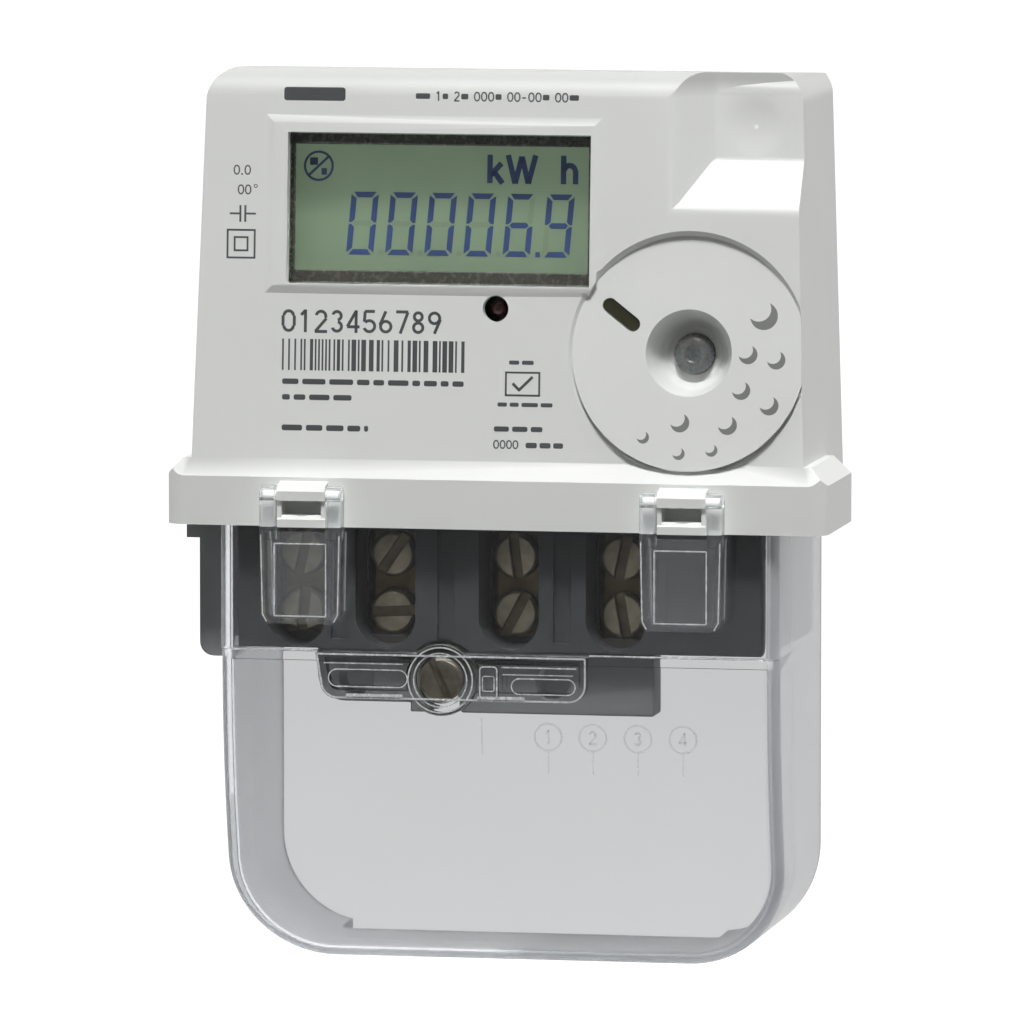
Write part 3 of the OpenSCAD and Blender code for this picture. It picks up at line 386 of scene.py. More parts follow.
def dress(o, name, width, angle=28.0, segments=3):
    """Planar clean-up, rounded edges and weighted normals as modifiers. The mesh itself stays as it is."""
    w = o.modifiers.new("weld", "WELD")
    w.merge_threshold = 1e-6
    if name not in ("main_cover", "lcd_glass", "lower_panel"):
        d = o.modifiers.new("planar", "DECIMATE")
        d.decimate_type = "DISSOLVE"
        d.angle_limit = math.radians(0.6)
    b = o.modifiers.new("edges", "BEVEL")
    b.width = width * MM
    b.segments = segments
    b.limit_method = "ANGLE"
    b.angle_limit = math.radians(angle)
    b.use_clamp_overlap = True
    b.miter_outer = "MITER_ARC"
    b.harden_normals = False
    n = o.modifiers.new("normals", "WEIGHTED_NORMAL")
    n.keep_sharp = True
    n.weight = 80
    for p in o.data.polygons:
        p.use_smooth = True


for name, o in NODES.items():
    mat = MATS.get(name, SCREW)
    o.data.materials.clear()
    o.data.materials.append(mat)
    if name.startswith("screw_"):
        o.data.materials[0] = WELLSCREW_LIGHTENED
        dress(o, name, 0.16)
    elif name in ("terminal_cover",):
        continue
    else:
        dress(o, name, BEVEL.get(name, 0.15))


# ------------------------------------------------------------------ helpers
def obj_from(name, verts, faces, mat, body, transform=None, smooth=True, node=None, auto=None):
    """Makes a piece from vertices in mm."""
    me = bpy.data.meshes.new(name)
    me.from_pydata([tuple(v) for v in verts], [], [tuple(f) for f in faces])
    me.validate()
    t = SCALE @ (transform or Matrix.Identity(4))
    me.transform(t)
    bm = bmesh.new()
    bm.from_mesh(me)
    bmesh.ops.recalc_face_normals(bm, faces=bm.faces)
    bm.to_mesh(me)
    bm.free()
    for p in me.polygons:
        p.use_smooth = smooth
    me.materials.append(mat)
    o = bpy.data.objects.new(name, me)
    bpy.context.scene.collection.objects.link(o)
    if auto is not None:
        sharp(o, auto)
    if body:
        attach(o, body)
    if node:
        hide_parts(node)
    return o


def sharp(o, angle):
    """Marks edges sharper than angle, so smooth shading stops there."""
    bm = bmesh.new()
    bm.from_mesh(o.data)
    for e in bm.edges:
        if len(e.link_faces) == 2 and e.calc_face_angle(0) > math.radians(angle):
            e.smooth = False
    bm.to_mesh(o.data)
    bm.free()


def apply_boolean(o, cutters, op="DIFFERENCE"):
    for c in cutters:
        m = o.modifiers.new("cut", "BOOLEAN")
        m.object = c
        m.operation = op
        m.solver = "EXACT"
    dg = bpy.context.evaluated_depsgraph_get()
    me = bpy.data.meshes.new_from_object(o.evaluated_get(dg))
    old = o.data
    o.modifiers.clear()
    o.data = me
    bpy.data.meshes.remove(old)
    for c in cutters:
        cm = c.data
        bpy.data.objects.remove(c)
        bpy.data.meshes.remove(cm)


def lathe(profile, n=96, close=True):
    """Turns (radius, height) points about local y (height goes into the body)."""
    verts, faces = [], []
    rows = []
    for r, h in profile:
        if r < 1e-6:
            verts.append((0, h, 0))
            rows.append([len(verts) - 1] * n)
        else:
            base = len(verts)
            for k in range(n):
                a = 2 * math.pi * k / n
                verts.append((r * math.cos(a), h, r * math.sin(a)))
            rows.append([base + k for k in range(n)])
    for i in range(len(rows) - 1):
        for k in range(n):
            a, b, c, d = rows[i][k], rows[i][(k + 1) % n], rows[i + 1][(k + 1) % n], rows[i + 1][k]
            f = []
            for v in (a, b, c, d):
                if v not in f:
                    f.append(v)
            if len(f) > 2:
                faces.append(f)
    return verts, faces


def prism(outline, y0, y1):
    """Closed prism along local y from an outline of (x, z) points."""
    n = len(outline)
    verts = [(x, y0, z) for x, z in outline] + [(x, y1, z) for x, z in outline]
    faces = [list(range(n))[::-1], list(range(n, 2 * n))]
    for k in range(n):
        faces.append([k, (k + 1) % n, n + (k + 1) % n, n + k])
    return verts, faces


def arc2(cx, cz, r, a0, a1, n):
    return [(cx + r * math.cos(math.radians(a0 + (a1 - a0) * i / n)), cz + r * math.sin(math.radians(a0 + (a1 - a0) * i / n))) for i in range(n + 1)]


def rrect(x0, z0, x1, z1, r, n=6):
    return (arc2(x1 - r, z1 - r, r, 0, 90, n) + arc2(x0 + r, z1 - r, r, 90, 180, n)
            + arc2(x0 + r, z0 + r, r, 180, 270, n) + arc2(x1 - r, z0 + r, r, 270, 360, n))


def stadium(cx, cz, l, r, ang, n=16):
    """Pill outline of total length l, turned by ang degrees."""
    a = math.radians(ang)
    pts = arc2(l / 2 - r, 0, r, -90, 90, n) + arc2(-l / 2 + r, 0, r, 90, 270, n)
    return [(cx + x * math.cos(a) - z * math.sin(a), cz + x * math.sin(a) + z * math.cos(a)) for x, z in pts]


# ------------------------------------------------------------------ camera, light, floor
def camera():
    az, el, dist, fpx = math.radians(11.013), math.radians(5.711), 2.1, 11783.4
    tgt = Vector((3.324, -50.0, 3.335)) * MM
    c = Vector((math.sin(az) * math.cos(el), -math.cos(az) * math.cos(el), math.sin(el)))
    cam = bpy.data.cameras.new("camera")
    cam.sensor_width = 36.0
    cam.lens = fpx / 1024 * 36.0
    cam.clip_start = 0.05
    cam.clip_end = 20
    o = bpy.data.objects.new("camera", cam)
    bpy.context.scene.collection.objects.link(o)
    o.location = tgt + c * dist
    o.rotation_euler = (-c).to_track_quat("-Z", "Y").to_euler()
    bpy.context.scene.camera = o


camera()


def area(name, loc, target, size, power, color=(1, 1, 1), size_y=None, spread=None):
    l = bpy.data.lights.new(name, "AREA")
    l.energy = power
    l.color = color
    l.size = size
    if spread:
        l.spread = math.radians(spread)
    if size_y:
        l.shape = "RECTANGLE"
        l.size_y = size_y
    o = bpy.data.objects.new(name, l)
    bpy.context.scene.collection.objects.link(o)
    o.location = loc
    d = Vector(target) - Vector(loc)
    o.rotation_euler = d.to_track_quat("-Z", "Y").to_euler()
    return o


area("key_top", (0.10, -0.78, 1.30), (0, -0.03, 0), 0.30, 0.83, spread=34)
area("fill_front", (-1.1, -1.5, 0.75), (0, 0, 0), 0.9, 0.8)


def studio_world():
    """Even studio surround: bright behind and above the meter, dimmer from where the camera stands."""
    w = bpy.data.worlds.new("world")
    bpy.context.scene.world = w
    w.use_nodes = True
    nt = w.node_tree
    bg = nt.nodes["Background"]
    tc = nt.nodes.new("ShaderNodeTexCoord")
    sep = nt.nodes.new("ShaderNodeSeparateXYZ")
    nt.links.new(tc.outputs["Generated"], sep.inputs[0])
    ry = nt.nodes.new("ShaderNodeMapRange")
    ry.interpolation_type = "SMOOTHSTEP"
    ry.inputs["From Min"].default_value = -0.8
    ry.inputs["From Max"].default_value = 0.15
    ry.inputs["To Min"].default_value = 0.10
    ry.inputs["To Max"].default_value = 0.72
    nt.links.new(sep.outputs["Y"], ry.inputs["Value"])
    lp = nt.nodes.new("ShaderNodeLightPath")
    top = maprange(nt, sep.outputs["Z"], 0.0, 2.2, 0.25, 0.8)
    side = maprange(nt, math_node(nt, "ABSOLUTE", sep.outputs["X"]), 0.0, 0.7, 0.35, 0.8)
    extra = math_node(nt, "MULTIPLY", math_node(nt, "ADD", top.outputs[0], side.outputs[0]), lp.outputs["Is Transmission Ray"])
    add = nt.nodes.new("ShaderNodeMath")
    nt.links.new(ry.outputs[0], add.inputs[0])
    nt.links.new(extra, add.inputs[1])
    nt.links.new(add.outputs[0], bg.inputs["Strength"])
    bg.inputs["Color"].default_value = (1, 1, 1, 1)


studio_world()
bpy.context.scene.view_settings.view_transform = "Standard"
bpy.context.scene.view_settings.look = "None"


def floor():
    # below the reach of the terminal cover when it is drawn down
    z = CAD_BOX[0][2] - 0.0465
    n = 40
    s = 9.0
    verts = [((i / n - 0.5) * s * 1000, (j / n - 0.35) * s * 1000, z * 1000) for j in range(n + 1) for i in range(n + 1)]
    faces = [(j * (n + 1) + i, j * (n + 1) + i + 1, (j + 1) * (n + 1) + i + 1, (j + 1) * (n + 1) + i) for j in range(n) for i in range(n)]
    m = plastic("floor_paper", (0.80, 0.80, 0.80), 0.8, 0.004, 300, 0.01, spec=0.1)
    nt = m.node_tree
    tc = nt.nodes.new("ShaderNodeTexCoord")
    sep = nt.nodes.new("ShaderNodeSeparateXYZ")
    nt.links.new(tc.outputs["Object"], sep.inputs[0])
    far = maprange(nt, sep.outputs["Y"], 0.88, 0.95, -0.1, 0.9)
    far.interpolation_type = "SMOOTHSTEP"
    bs = next(n_ for n_ in nt.nodes if n_.type == "BSDF_PRINCIPLED")
    near = maprange(nt, sep.outputs["Y"], 0.0, 1.0, -0.45, -0.12)
    near.interpolation_type = "SMOOTHSTEP"
    glow = nt.nodes.new("ShaderNodeMath")
    glow.operation = "MULTIPLY"
    nt.links.new(far.outputs[0], glow.inputs[0])
    nt.links.new(near.outputs[0], glow.inputs[1])
    nt.links.new(glow.outputs[0], bs.inputs["Emission Strength"])
    tone = ramp(nt, near.outputs[0], 0.0, (0.75, 0.75, 0.75), 1.0, (0.33, 0.33, 0.33))
    nt.links.new(tone.outputs[0], bs.inputs["Base Color"])
    bs.inputs["Emission Color"].default_value = (1, 1, 1, 1)
    o = obj_from("floor", verts, faces, m, None)
    o.visible_glossy = False
    o.visible_diffuse = False


floor()


# ------------------------------------------------------------------ clear terminal cover
CW, CZ0, CT, CR = 50.9, -79.5, 2.0, 18.5
STEP_Z = -22.6
CTOP = 2.5


def cover_front_y(z, inset=0.0):
    """Depth of the front panel's outer surface at a height."""
    if z >= STEP_Z:
        return -47.3 + inset
    R = 143.0 - inset
    cy, cz = -46.4 + 143.0, -24.0
    return cy - math.sqrt(R * R - (z - cz) ** 2)


def cover_shell_surface(inset, top, fillet):
    """Rows of vertices for one skin of the cover: the front grid and the walls back to the wall plane."""
    hw = CW - inset
    r = CR - inset
    z0 = CZ0 + inset
    # heights of the side stations, top to bottom, denser round the corner
    zs = [top - (top - (STEP_Z + 0.25)) * i / 6 for i in range(7)] + [STEP_Z + 0.02, STEP_Z - 0.25]
    zs += [STEP_Z - 0.25 - ((STEP_Z - 0.25) - (z0 + r)) * i / 14 for i in range(1, 15)]
    left = [(-hw, z, 180.0) for z in zs]
    nc = 22
    cor = [(-hw + r + r * math.cos(math.radians(180 + 90 * i / nc)), z0 + r + r * math.sin(math.radians(180 + 90 * i / nc)), 180 + 90 * i / nc) for i in range(1, nc + 1)]
    left += cor
    nb = 24
    x0, x1 = -hw + r, hw - r
    bottom = [(x0 + (x1 - x0) * i / nb, z0, 270.0) for i in range(1, nb)]
    right = [(-x, z, 180.0 - a) for x, z, a in left][::-1]
    path = left + bottom + right  # (x, z, outward angle)
    n = len(path)
    nl = len(left)
    verts, faces = [], []

    def add(p):
        verts.append(p)
        return len(verts) - 1

    rings = []
    # wall rows from the wall plane forward, then the fillet
    for t in (0.0, 0.12, 0.35, 0.65, 1.0):
        row = []
        for x, z, a in path:
            yf = cover_front_y(z, inset) + fillet
            row.append(add((x, 0.0 + (yf - 0.0) * t, z)))
        rings.append(row)
    nf = 5
    for k in range(1, nf + 1):
        th = math.radians(90 * k / nf)
        off = fillet * (1 - math.cos(th))
        row = []
        for x, z, a in path:
            px = x - off * math.cos(math.radians(a))
            pz = z - off * math.sin(math.radians(a))
            pz = min(pz, z + off)
            y = cover_front_y(pz, inset) + fillet * (1 - math.sin(th))
            row.append(add((px, y, pz)))
        rings.append(row)
    for i in range(len(rings) - 1):
        for k in range(n - 1):
            faces.append((rings[i][k], rings[i][k + 1], rings[i + 1][k + 1], rings[i + 1][k]))
    last = rings[-1]
    # front grid between the left and the right stations
    nx = nb
    prev = None
    for i in range(nl):
        a, b = last[i], last[n - 1 - i]
        xa, ya, za = verts[a]
        xb, yb, zb = verts[b]
        if i == nl - 1:
            row = [a] + [last[nl - 1 + j] for j in range(1, nx)] + [b]
        else:
            row = [a] + [add((xa + (xb - xa) * j / nx, ya, za)) for j in range(1, nx)] + [b]
        if prev:
            for j in range(nx):
                faces.append((prev[j], prev[j + 1], row[j + 1], row[j]))
        else:
            first_row = row
        prev = row
    rim = rings[0]
    top_l = [r_[0] for r_ in rings]
    top_r = [r_[n - 1] for r_ in rings]
    top_edge = top_l + first_row[1:-1] + top_r[::-1]
    return verts, faces, rim, top_edge


def terminal_cover():
    vo, fo, rim_o, top_o = cover_shell_surface(0.0, CTOP, 2.6)
    vi, fi, rim_i, top_i = cover_shell_surface(CT, CTOP, 0.9)
    k = len(vo)
    verts = vo + vi
    faces = fo + [tuple(v + k for v in f) for f in fi]
    rim_i = [v + k for v in rim_i]
    top_i = [v + k for v in top_i]
    for a, b in ((rim_o, rim_i), (top_o, top_i)):
        for i in range(len(a) - 1):
            faces.append((a[i], a[i + 1], b[i + 1], b[i]))
    o = obj_from("clear_terminal_cover", verts, faces, CLEAR, None)
    bm = bmesh.new()
    bm.from_mesh(o.data)
    bmesh.ops.remove_doubles(bm, verts=bm.verts, dist=1e-7)
    bmesh.ops.recalc_face_normals(bm, faces=bm.faces)
    open_edges = [e for e in bm.edges if not e.is_manifold]
    print("cover open edges", len(open_edges))
    bm.to_mesh(o.data)
    bm.free()
    return o


cover = terminal_cover()


def tool(name, vf, transform=None):
    return obj_from(name, vf[0], vf[1], CLEAR, None, transform, smooth=True)


SX, SZ = -10.2, -27.4
LATCH_X, LATCH_Y = 34.5, 52.2
# boss, rib and ridges joined to the shell, then the holes
boss = tool("t_boss", lathe([(0, -47.7), (6.0, -47.7), (6.3, -47.55), (6.5, -47.2), (6.5, -42.7), (6.1, -42.3), (0, -42.3)], 72), Matrix.Translation((SX, 0, SZ)))
rib = tool("t_rib", prism([(-CW + 1, -24.6), (CW - 1, -24.6), (CW - 1, -22.7), (-CW + 1, -22.7)], -45.6, -43.2))


def lug_outline(i):
    """Outline of the raised field beside the sealing screw, pulled in by i."""
    x0, x1, z0, z1 = -33.0 + i, 16.4 - i, -31.1 + i, -22.9 - i * 0.6
    r = 3.2 - i
    return [(x1, z1), (x0, z1)] + arc2(x0 + r + 0.8, z0 + r, r, 200, 270, 6) + arc2(x1 - r, z0 + r, r, 270, 360, 6)


lug = tool("t_lug", prism(lug_outline(0), -47.9, -44.6))
pocket = tool("t_pocket", prism(lug_outline(1.5), -46.8, -40.0))
apply_boolean(cover, [lug], "UNION")
apply_boolean(cover, [pocket])
apply_boolean(cover, [rib], "UNION")
apply_boolean(cover, [boss], "UNION")
clip = tool("t_clip", prism(rrect(-3.0, -30.6, 0.5, -24.5, 0.7, 4), -48.7, -47.4))
apply_boolean(cover, [clip], "UNION")
groove = tool("t_groove", prism(stadium(-23.4, -27.3, 14.4, 1.35, 0), -49.0, -47.25))
groove2 = tool("t_groove2", prism(stadium(8.6, -28.2, 11.6, 1.2, 0), -49.0, -47.25))
clip_hole = tool("t_cliphole", prism(rrect(-2.1, -28.9, -0.4, -26.6, 0.3, 3), -49.5, -47.2))
clip_slot = tool("t_clipslot", prism(rrect(1.1, -29.0, 1.9, -26.4, 0.25, 3), -49.5, -47.1))
cbore = tool("t_cbore", lathe([(0, -50), (4.5, -50), (4.5, -47.6), (4.25, -47.35), (4.25, -45.0), (0, -45.0)], 72), Matrix.Translation((SX, 0, SZ)))
hole = tool("t_hole", lathe([(0, -46), (2.06, -46), (2.06, -40), (0, -40)], 48), Matrix.Translation((SX, 0, SZ)))
notch = tool("t_notch", prism(rrect(-36, -85, 34, -75.2, 1.0), -9.5, 5))
apply_boolean(cover, [groove])
apply_boolean(cover, [groove2])
apply_boolean(cover, [clip_hole])
apply_boolean(cover, [clip_slot])
apply_boolean(cover, [cbore])
apply_boolean(cover, [hole])
apply_boolean(cover, [notch])
for p in cover.data.polygons:
    p.use_smooth = True
sharp(cover, 24)
bv = cover.modifiers.new("edges", "BEVEL")
bv.width = 0.22 * MM
bv.segments = 2
bv.limit_method = "ANGLE"
bv.angle_limit = math.radians(50)
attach(cover, "terminal_cover")
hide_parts("terminal_cover")
cover.visible_shadow = False
for n_ in ("seal_latch_left", "seal_latch_right", "display_window"):
    NODES[n_].visible_shadow = False


# ------------------------------------------------------------------ prints and display segments
def S(z, d=0.0):
    """Height along the leaning face of a point at world height z and depth d."""
    return (z - FLANGE_TOP + d * math.sin(TILT)) / math.cos(TILT)


class Print:
    """Collects thin raised shapes in a frame (x, s) and makes one clean mesh of them."""

    def __init__(self, depth=0.0, thick=0.03):
        self.v, self.f, self.d0, self.d1 = [], [], depth - thick, depth + 0.01

    def poly(self, pts):
        pv, pf = prism(pts, self.d0, self.d1)
        k = len(self.v)
        self.v += pv
        self.f += [tuple(i + k for i in q) for q in pf]

    def bar(self, x0, z0, x1, z1, r=0.0):
        if r:
            self.poly(rrect(x0, z0, x1, z1, r, 4))
        else:
            self.poly([(x0, z0), (x1, z0), (x1, z1), (x0, z1)])

    def ring(self, cx, cz, r, w, n=40, a0=0, a1=360):
        for i in range(n):
            p, q = math.radians(a0 + (a1 - a0) * i / n), math.radians(a0 + (a1 - a0) * (i + 1) / n)
            self.poly([(cx + r * math.cos(p), cz + r * math.sin(p)), (cx + r * math.cos(q), cz + r * math.sin(q)),
                       (cx + (r - w) * math.cos(q), cz + (r - w) * math.sin(q)), (cx + (r - w) * math.cos(p), cz + (r - w) * math.sin(p))])

    def line(self, x0, z0, x1, z1, w):
        dx, dz = x1 - x0, z1 - z0
        L = math.hypot(dx, dz)
        nx, nz = -dz / L * w / 2, dx / L * w / 2
        self.poly([(x0 + nx, z0 + nz), (x0 - nx, z0 - nz), (x1 - nx, z1 - nz), (x1 + nx, z1 + nz)])

    def path(self, pts, w, closed=True):
        n = len(pts)
        for i in range(n if closed else n - 1):
            (a, b), (c, d) = pts[i], pts[(i + 1) % n]
            if math.hypot(c - a, d - b) > 0.02:
                self.line(a, b, c, d, w)

    def make(self, name, mat, slot=None, frame_=FACE, body="root"):
        me_o = obj_from(name, self.v, self.f, mat, None, frame_, smooth=False)
        bm = bmesh.new()
        bm.from_mesh(me_o.data)
        bmesh.ops.remove_doubles(bm, verts=bm.verts, dist=2e-7)
        bmesh.ops.recalc_face_normals(bm, faces=bm.faces)
        bm.to_mesh(me_o.data)
        bm.free()
        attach(me_o, body)
        return me_o


SEG = {"0": "abcdef", "1": "bc", "2": "abged", "3": "abgcd", "4": "fgbc", "5": "afgcd", "6": "afgedc", "7": "abc", "8": "abcdefg", "9": "gfabcd"}


def seven(pr, ch, x, z, w, h, t, slant=0.0, gap=0.18, only=None):
    """Seven bars for one digit, with its lower left corner at (x, z)."""
    m = h / 2
    g = gap

    def sk(pts):
        return [(x + px + pz * slant, z + pz) for px, pz in pts]

    def hor(zc, k):
        return [(g + t * 0.55, zc), (g + t, zc + t / 2), (w - g - t, zc + t / 2), (w - g - t * 0.55, zc), (w - g - t, zc - t / 2), (g + t, zc - t / 2)] if k == "m" else (
            [(g + 0.25 * t, h), (w - g - 0.25 * t, h), (w - g - t, h - t), (g + t, h - t)] if k == "t" else
            [(g + 0.25 * t, 0), (g + t, t), (w - g - t, t), (w - g - 0.25 * t, 0)])

    def ver(left, up):
        z0, z1 = (m, h) if up else (0, m)
        if up:
            p = [(0, z0 + g), (0, z1 - g - 0.25 * t), (t, z1 - g - t), (t, z0 + g + t * 0.5), (t * 0.5, z0 + g)]
        else:
            p = [(0, z1 - g), (0, z0 + g + 0.25 * t), (t, z0 + g + t), (t, z1 - g - t * 0.5), (t * 0.5, z1 - g)]
        return p if left else [(w - px, pz) for px, pz in p]

    shapes = {"a": hor(0, "t"), "d": hor(0, "b"), "g": hor(m, "m"), "f": ver(True, True), "b": ver(False, True), "e": ver(True, False), "c": ver(False, False)}
    for k in SEG[ch]:
        pr.poly(sk(shapes[k]))
    return [k for k in "abcdefg" if k not in SEG[ch]], shapes, sk


def strokes(pr, ch, x, z, h, w):
    """Digits for the printed number, drawn with round strokes. Returns the advance."""
    W = h * 0.56

    def ln(a, b, c, d):
        pr.line(x + a * W, z + b * h, x + c * W, z + d * h, w)

    def rg(cx, cz, rx, a0, a1):
        r = rx * h
        pr.ring(x + cx * W, z + cz * h, r, w, 20, a0, a1)

    if ch == "0":
        rg(0.5, 0.72, 0.28, 0, 180); rg(0.5, 0.28, 0.28, 180, 360)
        ln(0.045, 0.28, 0.045, 0.72); ln(0.955, 0.28, 0.955, 0.72)
    elif ch == "1":
        ln(0.55, 0, 0.55, 1); ln(0.55, 0.97, 0.2, 0.76)
    elif ch == "2":
        rg(0.5, 0.72, 0.28, -20, 170); ln(0.93, 0.62, 0.06, 0.05); ln(0.0, 0.04, 1.0, 0.04)
    elif ch == "3":
        rg(0.48, 0.745, 0.255, -80, 165); rg(0.48, 0.275, 0.275, -165, 80)
    elif ch == "4":
        ln(0.72, 0, 0.72, 1); ln(0.72, 0.97, 0.02, 0.28); ln(0.0, 0.27, 1.0, 0.27)
    elif ch == "5":
        ln(0.12, 0.96, 0.92, 0.96); ln(0.14, 0.96, 0.08, 0.5); rg(0.48, 0.31, 0.31, -160, 140)
    elif ch == "6":
        rg(0.5, 0.3, 0.3, 0, 360); ln(0.03, 0.36, 0.5, 0.98)
    elif ch == "7":
        ln(0.02, 0.96, 1.0, 0.96); ln(0.97, 0.95, 0.36, 0.0)
    elif ch == "8":
        rg(0.5, 0.755, 0.245, 0, 360); rg(0.5, 0.275, 0.275, 0, 360)
    elif ch == "9":
        rg(0.5, 0.7, 0.3, 0, 360); ln(0.97, 0.64, 0.5, 0.02)
    elif ch == ".":
        pr.bar(x, z, x + w * 1.2, z + w * 1.2)
        return w * 2.6
    elif ch == "-":
        ln(0.1, 0.42, 0.8, 0.42)
    elif ch == " ":
        return h * 0.34
    return W + h * 0.17


def number(pr, text, x, z, h, w):
    for c in text:
        x += strokes(pr, c, x, z, h, w)
    return x


def display():
    ON, OFF = Print(8.37, 0.03), Print(8.385, 0.02)
    h, w, t, pitch = 11.3, 5.0, 1.02, 7.15
    x0, zb = -29.35, S(47.9, 8.4)
    for i, c in enumerate("000069"):
        off, shapes, sk = seven(ON, c, x0 + pitch * i, zb, w, h, t, 0.085)
        for k in off:
            OFF.poly(sk(shapes[k]))
    ON.bar(x0 + pitch * 5 - 1.15, zb, x0 + pitch * 5 - 0.3, zb + 0.95)
    for i in range(4):
        OFF.bar(x0 + pitch * (i + 1) - 1.15, zb, x0 + pitch * (i + 1) - 0.3, zb + 0.95)
    # unit letters kW h in plain strokes
    zu, hu, tu = S(61.0, 8.4), 5.1, 1.0
    k0 = -3.6
    ON.line(k0 + 0.4, zu, k0 + 0.4, zu + hu, tu)
    ON.line(k0 + 0.6, zu + 1.5, k0 + 2.5, zu + 3.6, tu)
    ON.line(k0 + 1.1, zu + 2.1, k0 + 2.7, zu, tu)
    W0 = k0 + 3.7
    for a, b, c, d in ((0, 1, 0.26, 0), (0.26, 0, 0.5, 0.95), (0.5, 0.95, 0.74, 0), (0.74, 0, 1, 1)):
        ON.line(W0 + a * 5.0, zu + b * hu, W0 + c * 5.0, zu + d * hu, tu)
    h0 = 9.8
    ON.line(h0 + 0.4, zu, h0 + 0.4, zu + hu, tu)
    ON.line(h0 + 2.6, zu, h0 + 2.6, zu + 2.5, tu)
    ON.ring(h0 + 1.5, zu + 2.35, 1.5, tu, 12, 0, 180)
    # round symbol: a circle with a stroke across it
    cx, cz = -34.5, S(63.7, 8.4)
    ON.ring(cx, cz, 2.75, 0.42, 36)
    ON.line(cx - 1.7, cz - 1.6, cx + 1.7, cz + 1.6, 0.45)
    ON.bar(cx - 1.6, cz + 0.15, cx - 0.15, cz + 1.5)
    ON.bar(cx + 0.5, cz - 1.6, cx + 1.5, cz - 0.4)
    ON.make("display_segments", LCDINK)
    OFF.make("display_segments_off", LCDGHOST)


display()


def face_prints():
    P = Print(0.0, 0.03)
    rng = np.random.RandomState(11)

    def words(x0, zlo, x1, zhi, w_min=1.2, w_max=4.4, gap=0.7, weight=1.0):
        """A line of blocked-out copy: plain bars in place of words."""
        zlo, zhi = S(zlo), S(zhi)
        x = x0
        hgt = zhi - zlo
        zc = (zlo + zhi) / 2
        while x < x1 - 0.4:
            L = min(rng.uniform(w_min, w_max), x1 - x)
            P.bar(x, zc - hgt * 0.30 * weight, x + L, zc + hgt * 0.30 * weight, min(hgt * 0.2, L * 0.4))
            x += L + gap

    # generic nameplate: numbers and unit marks only
    x = -15.4
    for tag, bar_, gap_ in (("", 2.6, 1.0), ("1", 1.0, 1.1), ("2", 1.3, 1.1), ("000", 1.1, 1.1), ("00-00", 1.2, 1.1), ("00", 1.7, 0)):
        x = number(P, tag, x, S(76.1), 1.75, 0.26)
        P.bar(x, S(76.1) + 0.35, x + bar_, S(76.1) + 1.35, 0.25)
        x += bar_ + gap_
    number(P, "0.0", -48.4, S(62.5), 1.8, 0.26)
    number(P, "00", -47.6, S(59.0), 1.8, 0.26)
    P.ring(-44.4, S(59.0) + 1.55, 0.36, 0.16, 14)
    P.bar(-39.4, S(75.9), -28.2, S(78.3), 0.5)
    # two plates with leads
    zc = S(55.6)
    for sx in (-1, 1):
        P.line(-46.7 + sx * 0.45, zc - 1.5, -46.7 + sx * 0.45, zc + 1.5, 0.36)
        P.line(-46.7 + sx * 0.45, zc, -46.7 + sx * 2.4, zc, 0.34)
    # double square of protective insulation
    for half, w_ in ((2.65, 0.34), (1.35, 0.34)):
        x, z = -46.95, S(50.2)
        P.bar(x - half, z - half, x + half, z - half + w_)
        P.bar(x - half, z + half - w_, x + half, z + half)
        P.bar(x - half, z - half + w_, x - half + w_, z + half - w_)
        P.bar(x + half - w_, z - half + w_, x + half, z + half - w_)
    # plain running number and its bars
    number(P, "0123456789", -39.2, S(34.6), 4.05, 0.54)
    x, zb, zt = -39.2, S(27.8), S(33.4)
    while x < -5.9:
        bw = rng.choice([0.32, 0.32, 0.58, 0.85])
        P.bar(x, zb, min(x + bw, -5.7), zt)
        x += bw + rng.choice([0.30, 0.32, 0.55, 0.8])
    words(-39.1, 25.0, -6.0, 26.6)
    words(-39.1, 22.2, -26.4, 23.8)
    words(-39.1, 16.7, -23.3, 18.4)
    words(2.2, 29.2, 7.2, 30.4, 1.4, 2.4, 0.5)
    words(0.2, 21.7, 10.2, 22.9, 1.6, 3.4, 0.5)
    # plain frame with a check stroke in place of a mark
    x0, x1, z0, z1 = 1.5, 7.9, S(23.8), S(28.2)
    for a, b, c, d in ((x0, z0, x1, z0 + 0.34), (x0, z1 - 0.34, x1, z1), (x0, z0, x0 + 0.34, z1), (x1 - 0.34, z0, x1, z1)):
        P.bar(a, b, c, d)
    P.line(2.9, (z0 + z1) / 2 + 0.1, 4.2, z0 + 1.0, 0.5)
    P.line(4.0, z0 + 1.05, 6.5, z1 - 0.9, 0.5)
    words(-0.4, 17.2, 8.4, 18.7, 1.6, 3.2, 0.6)
    number(P, "0000", -0.4, S(14.4), 1.6, 0.24)
    words(5.4, 14.3, 12.2, 15.9, 1.4, 3.0, 0.5)
    P.make("nameplate_marks", INK)


face_prints()


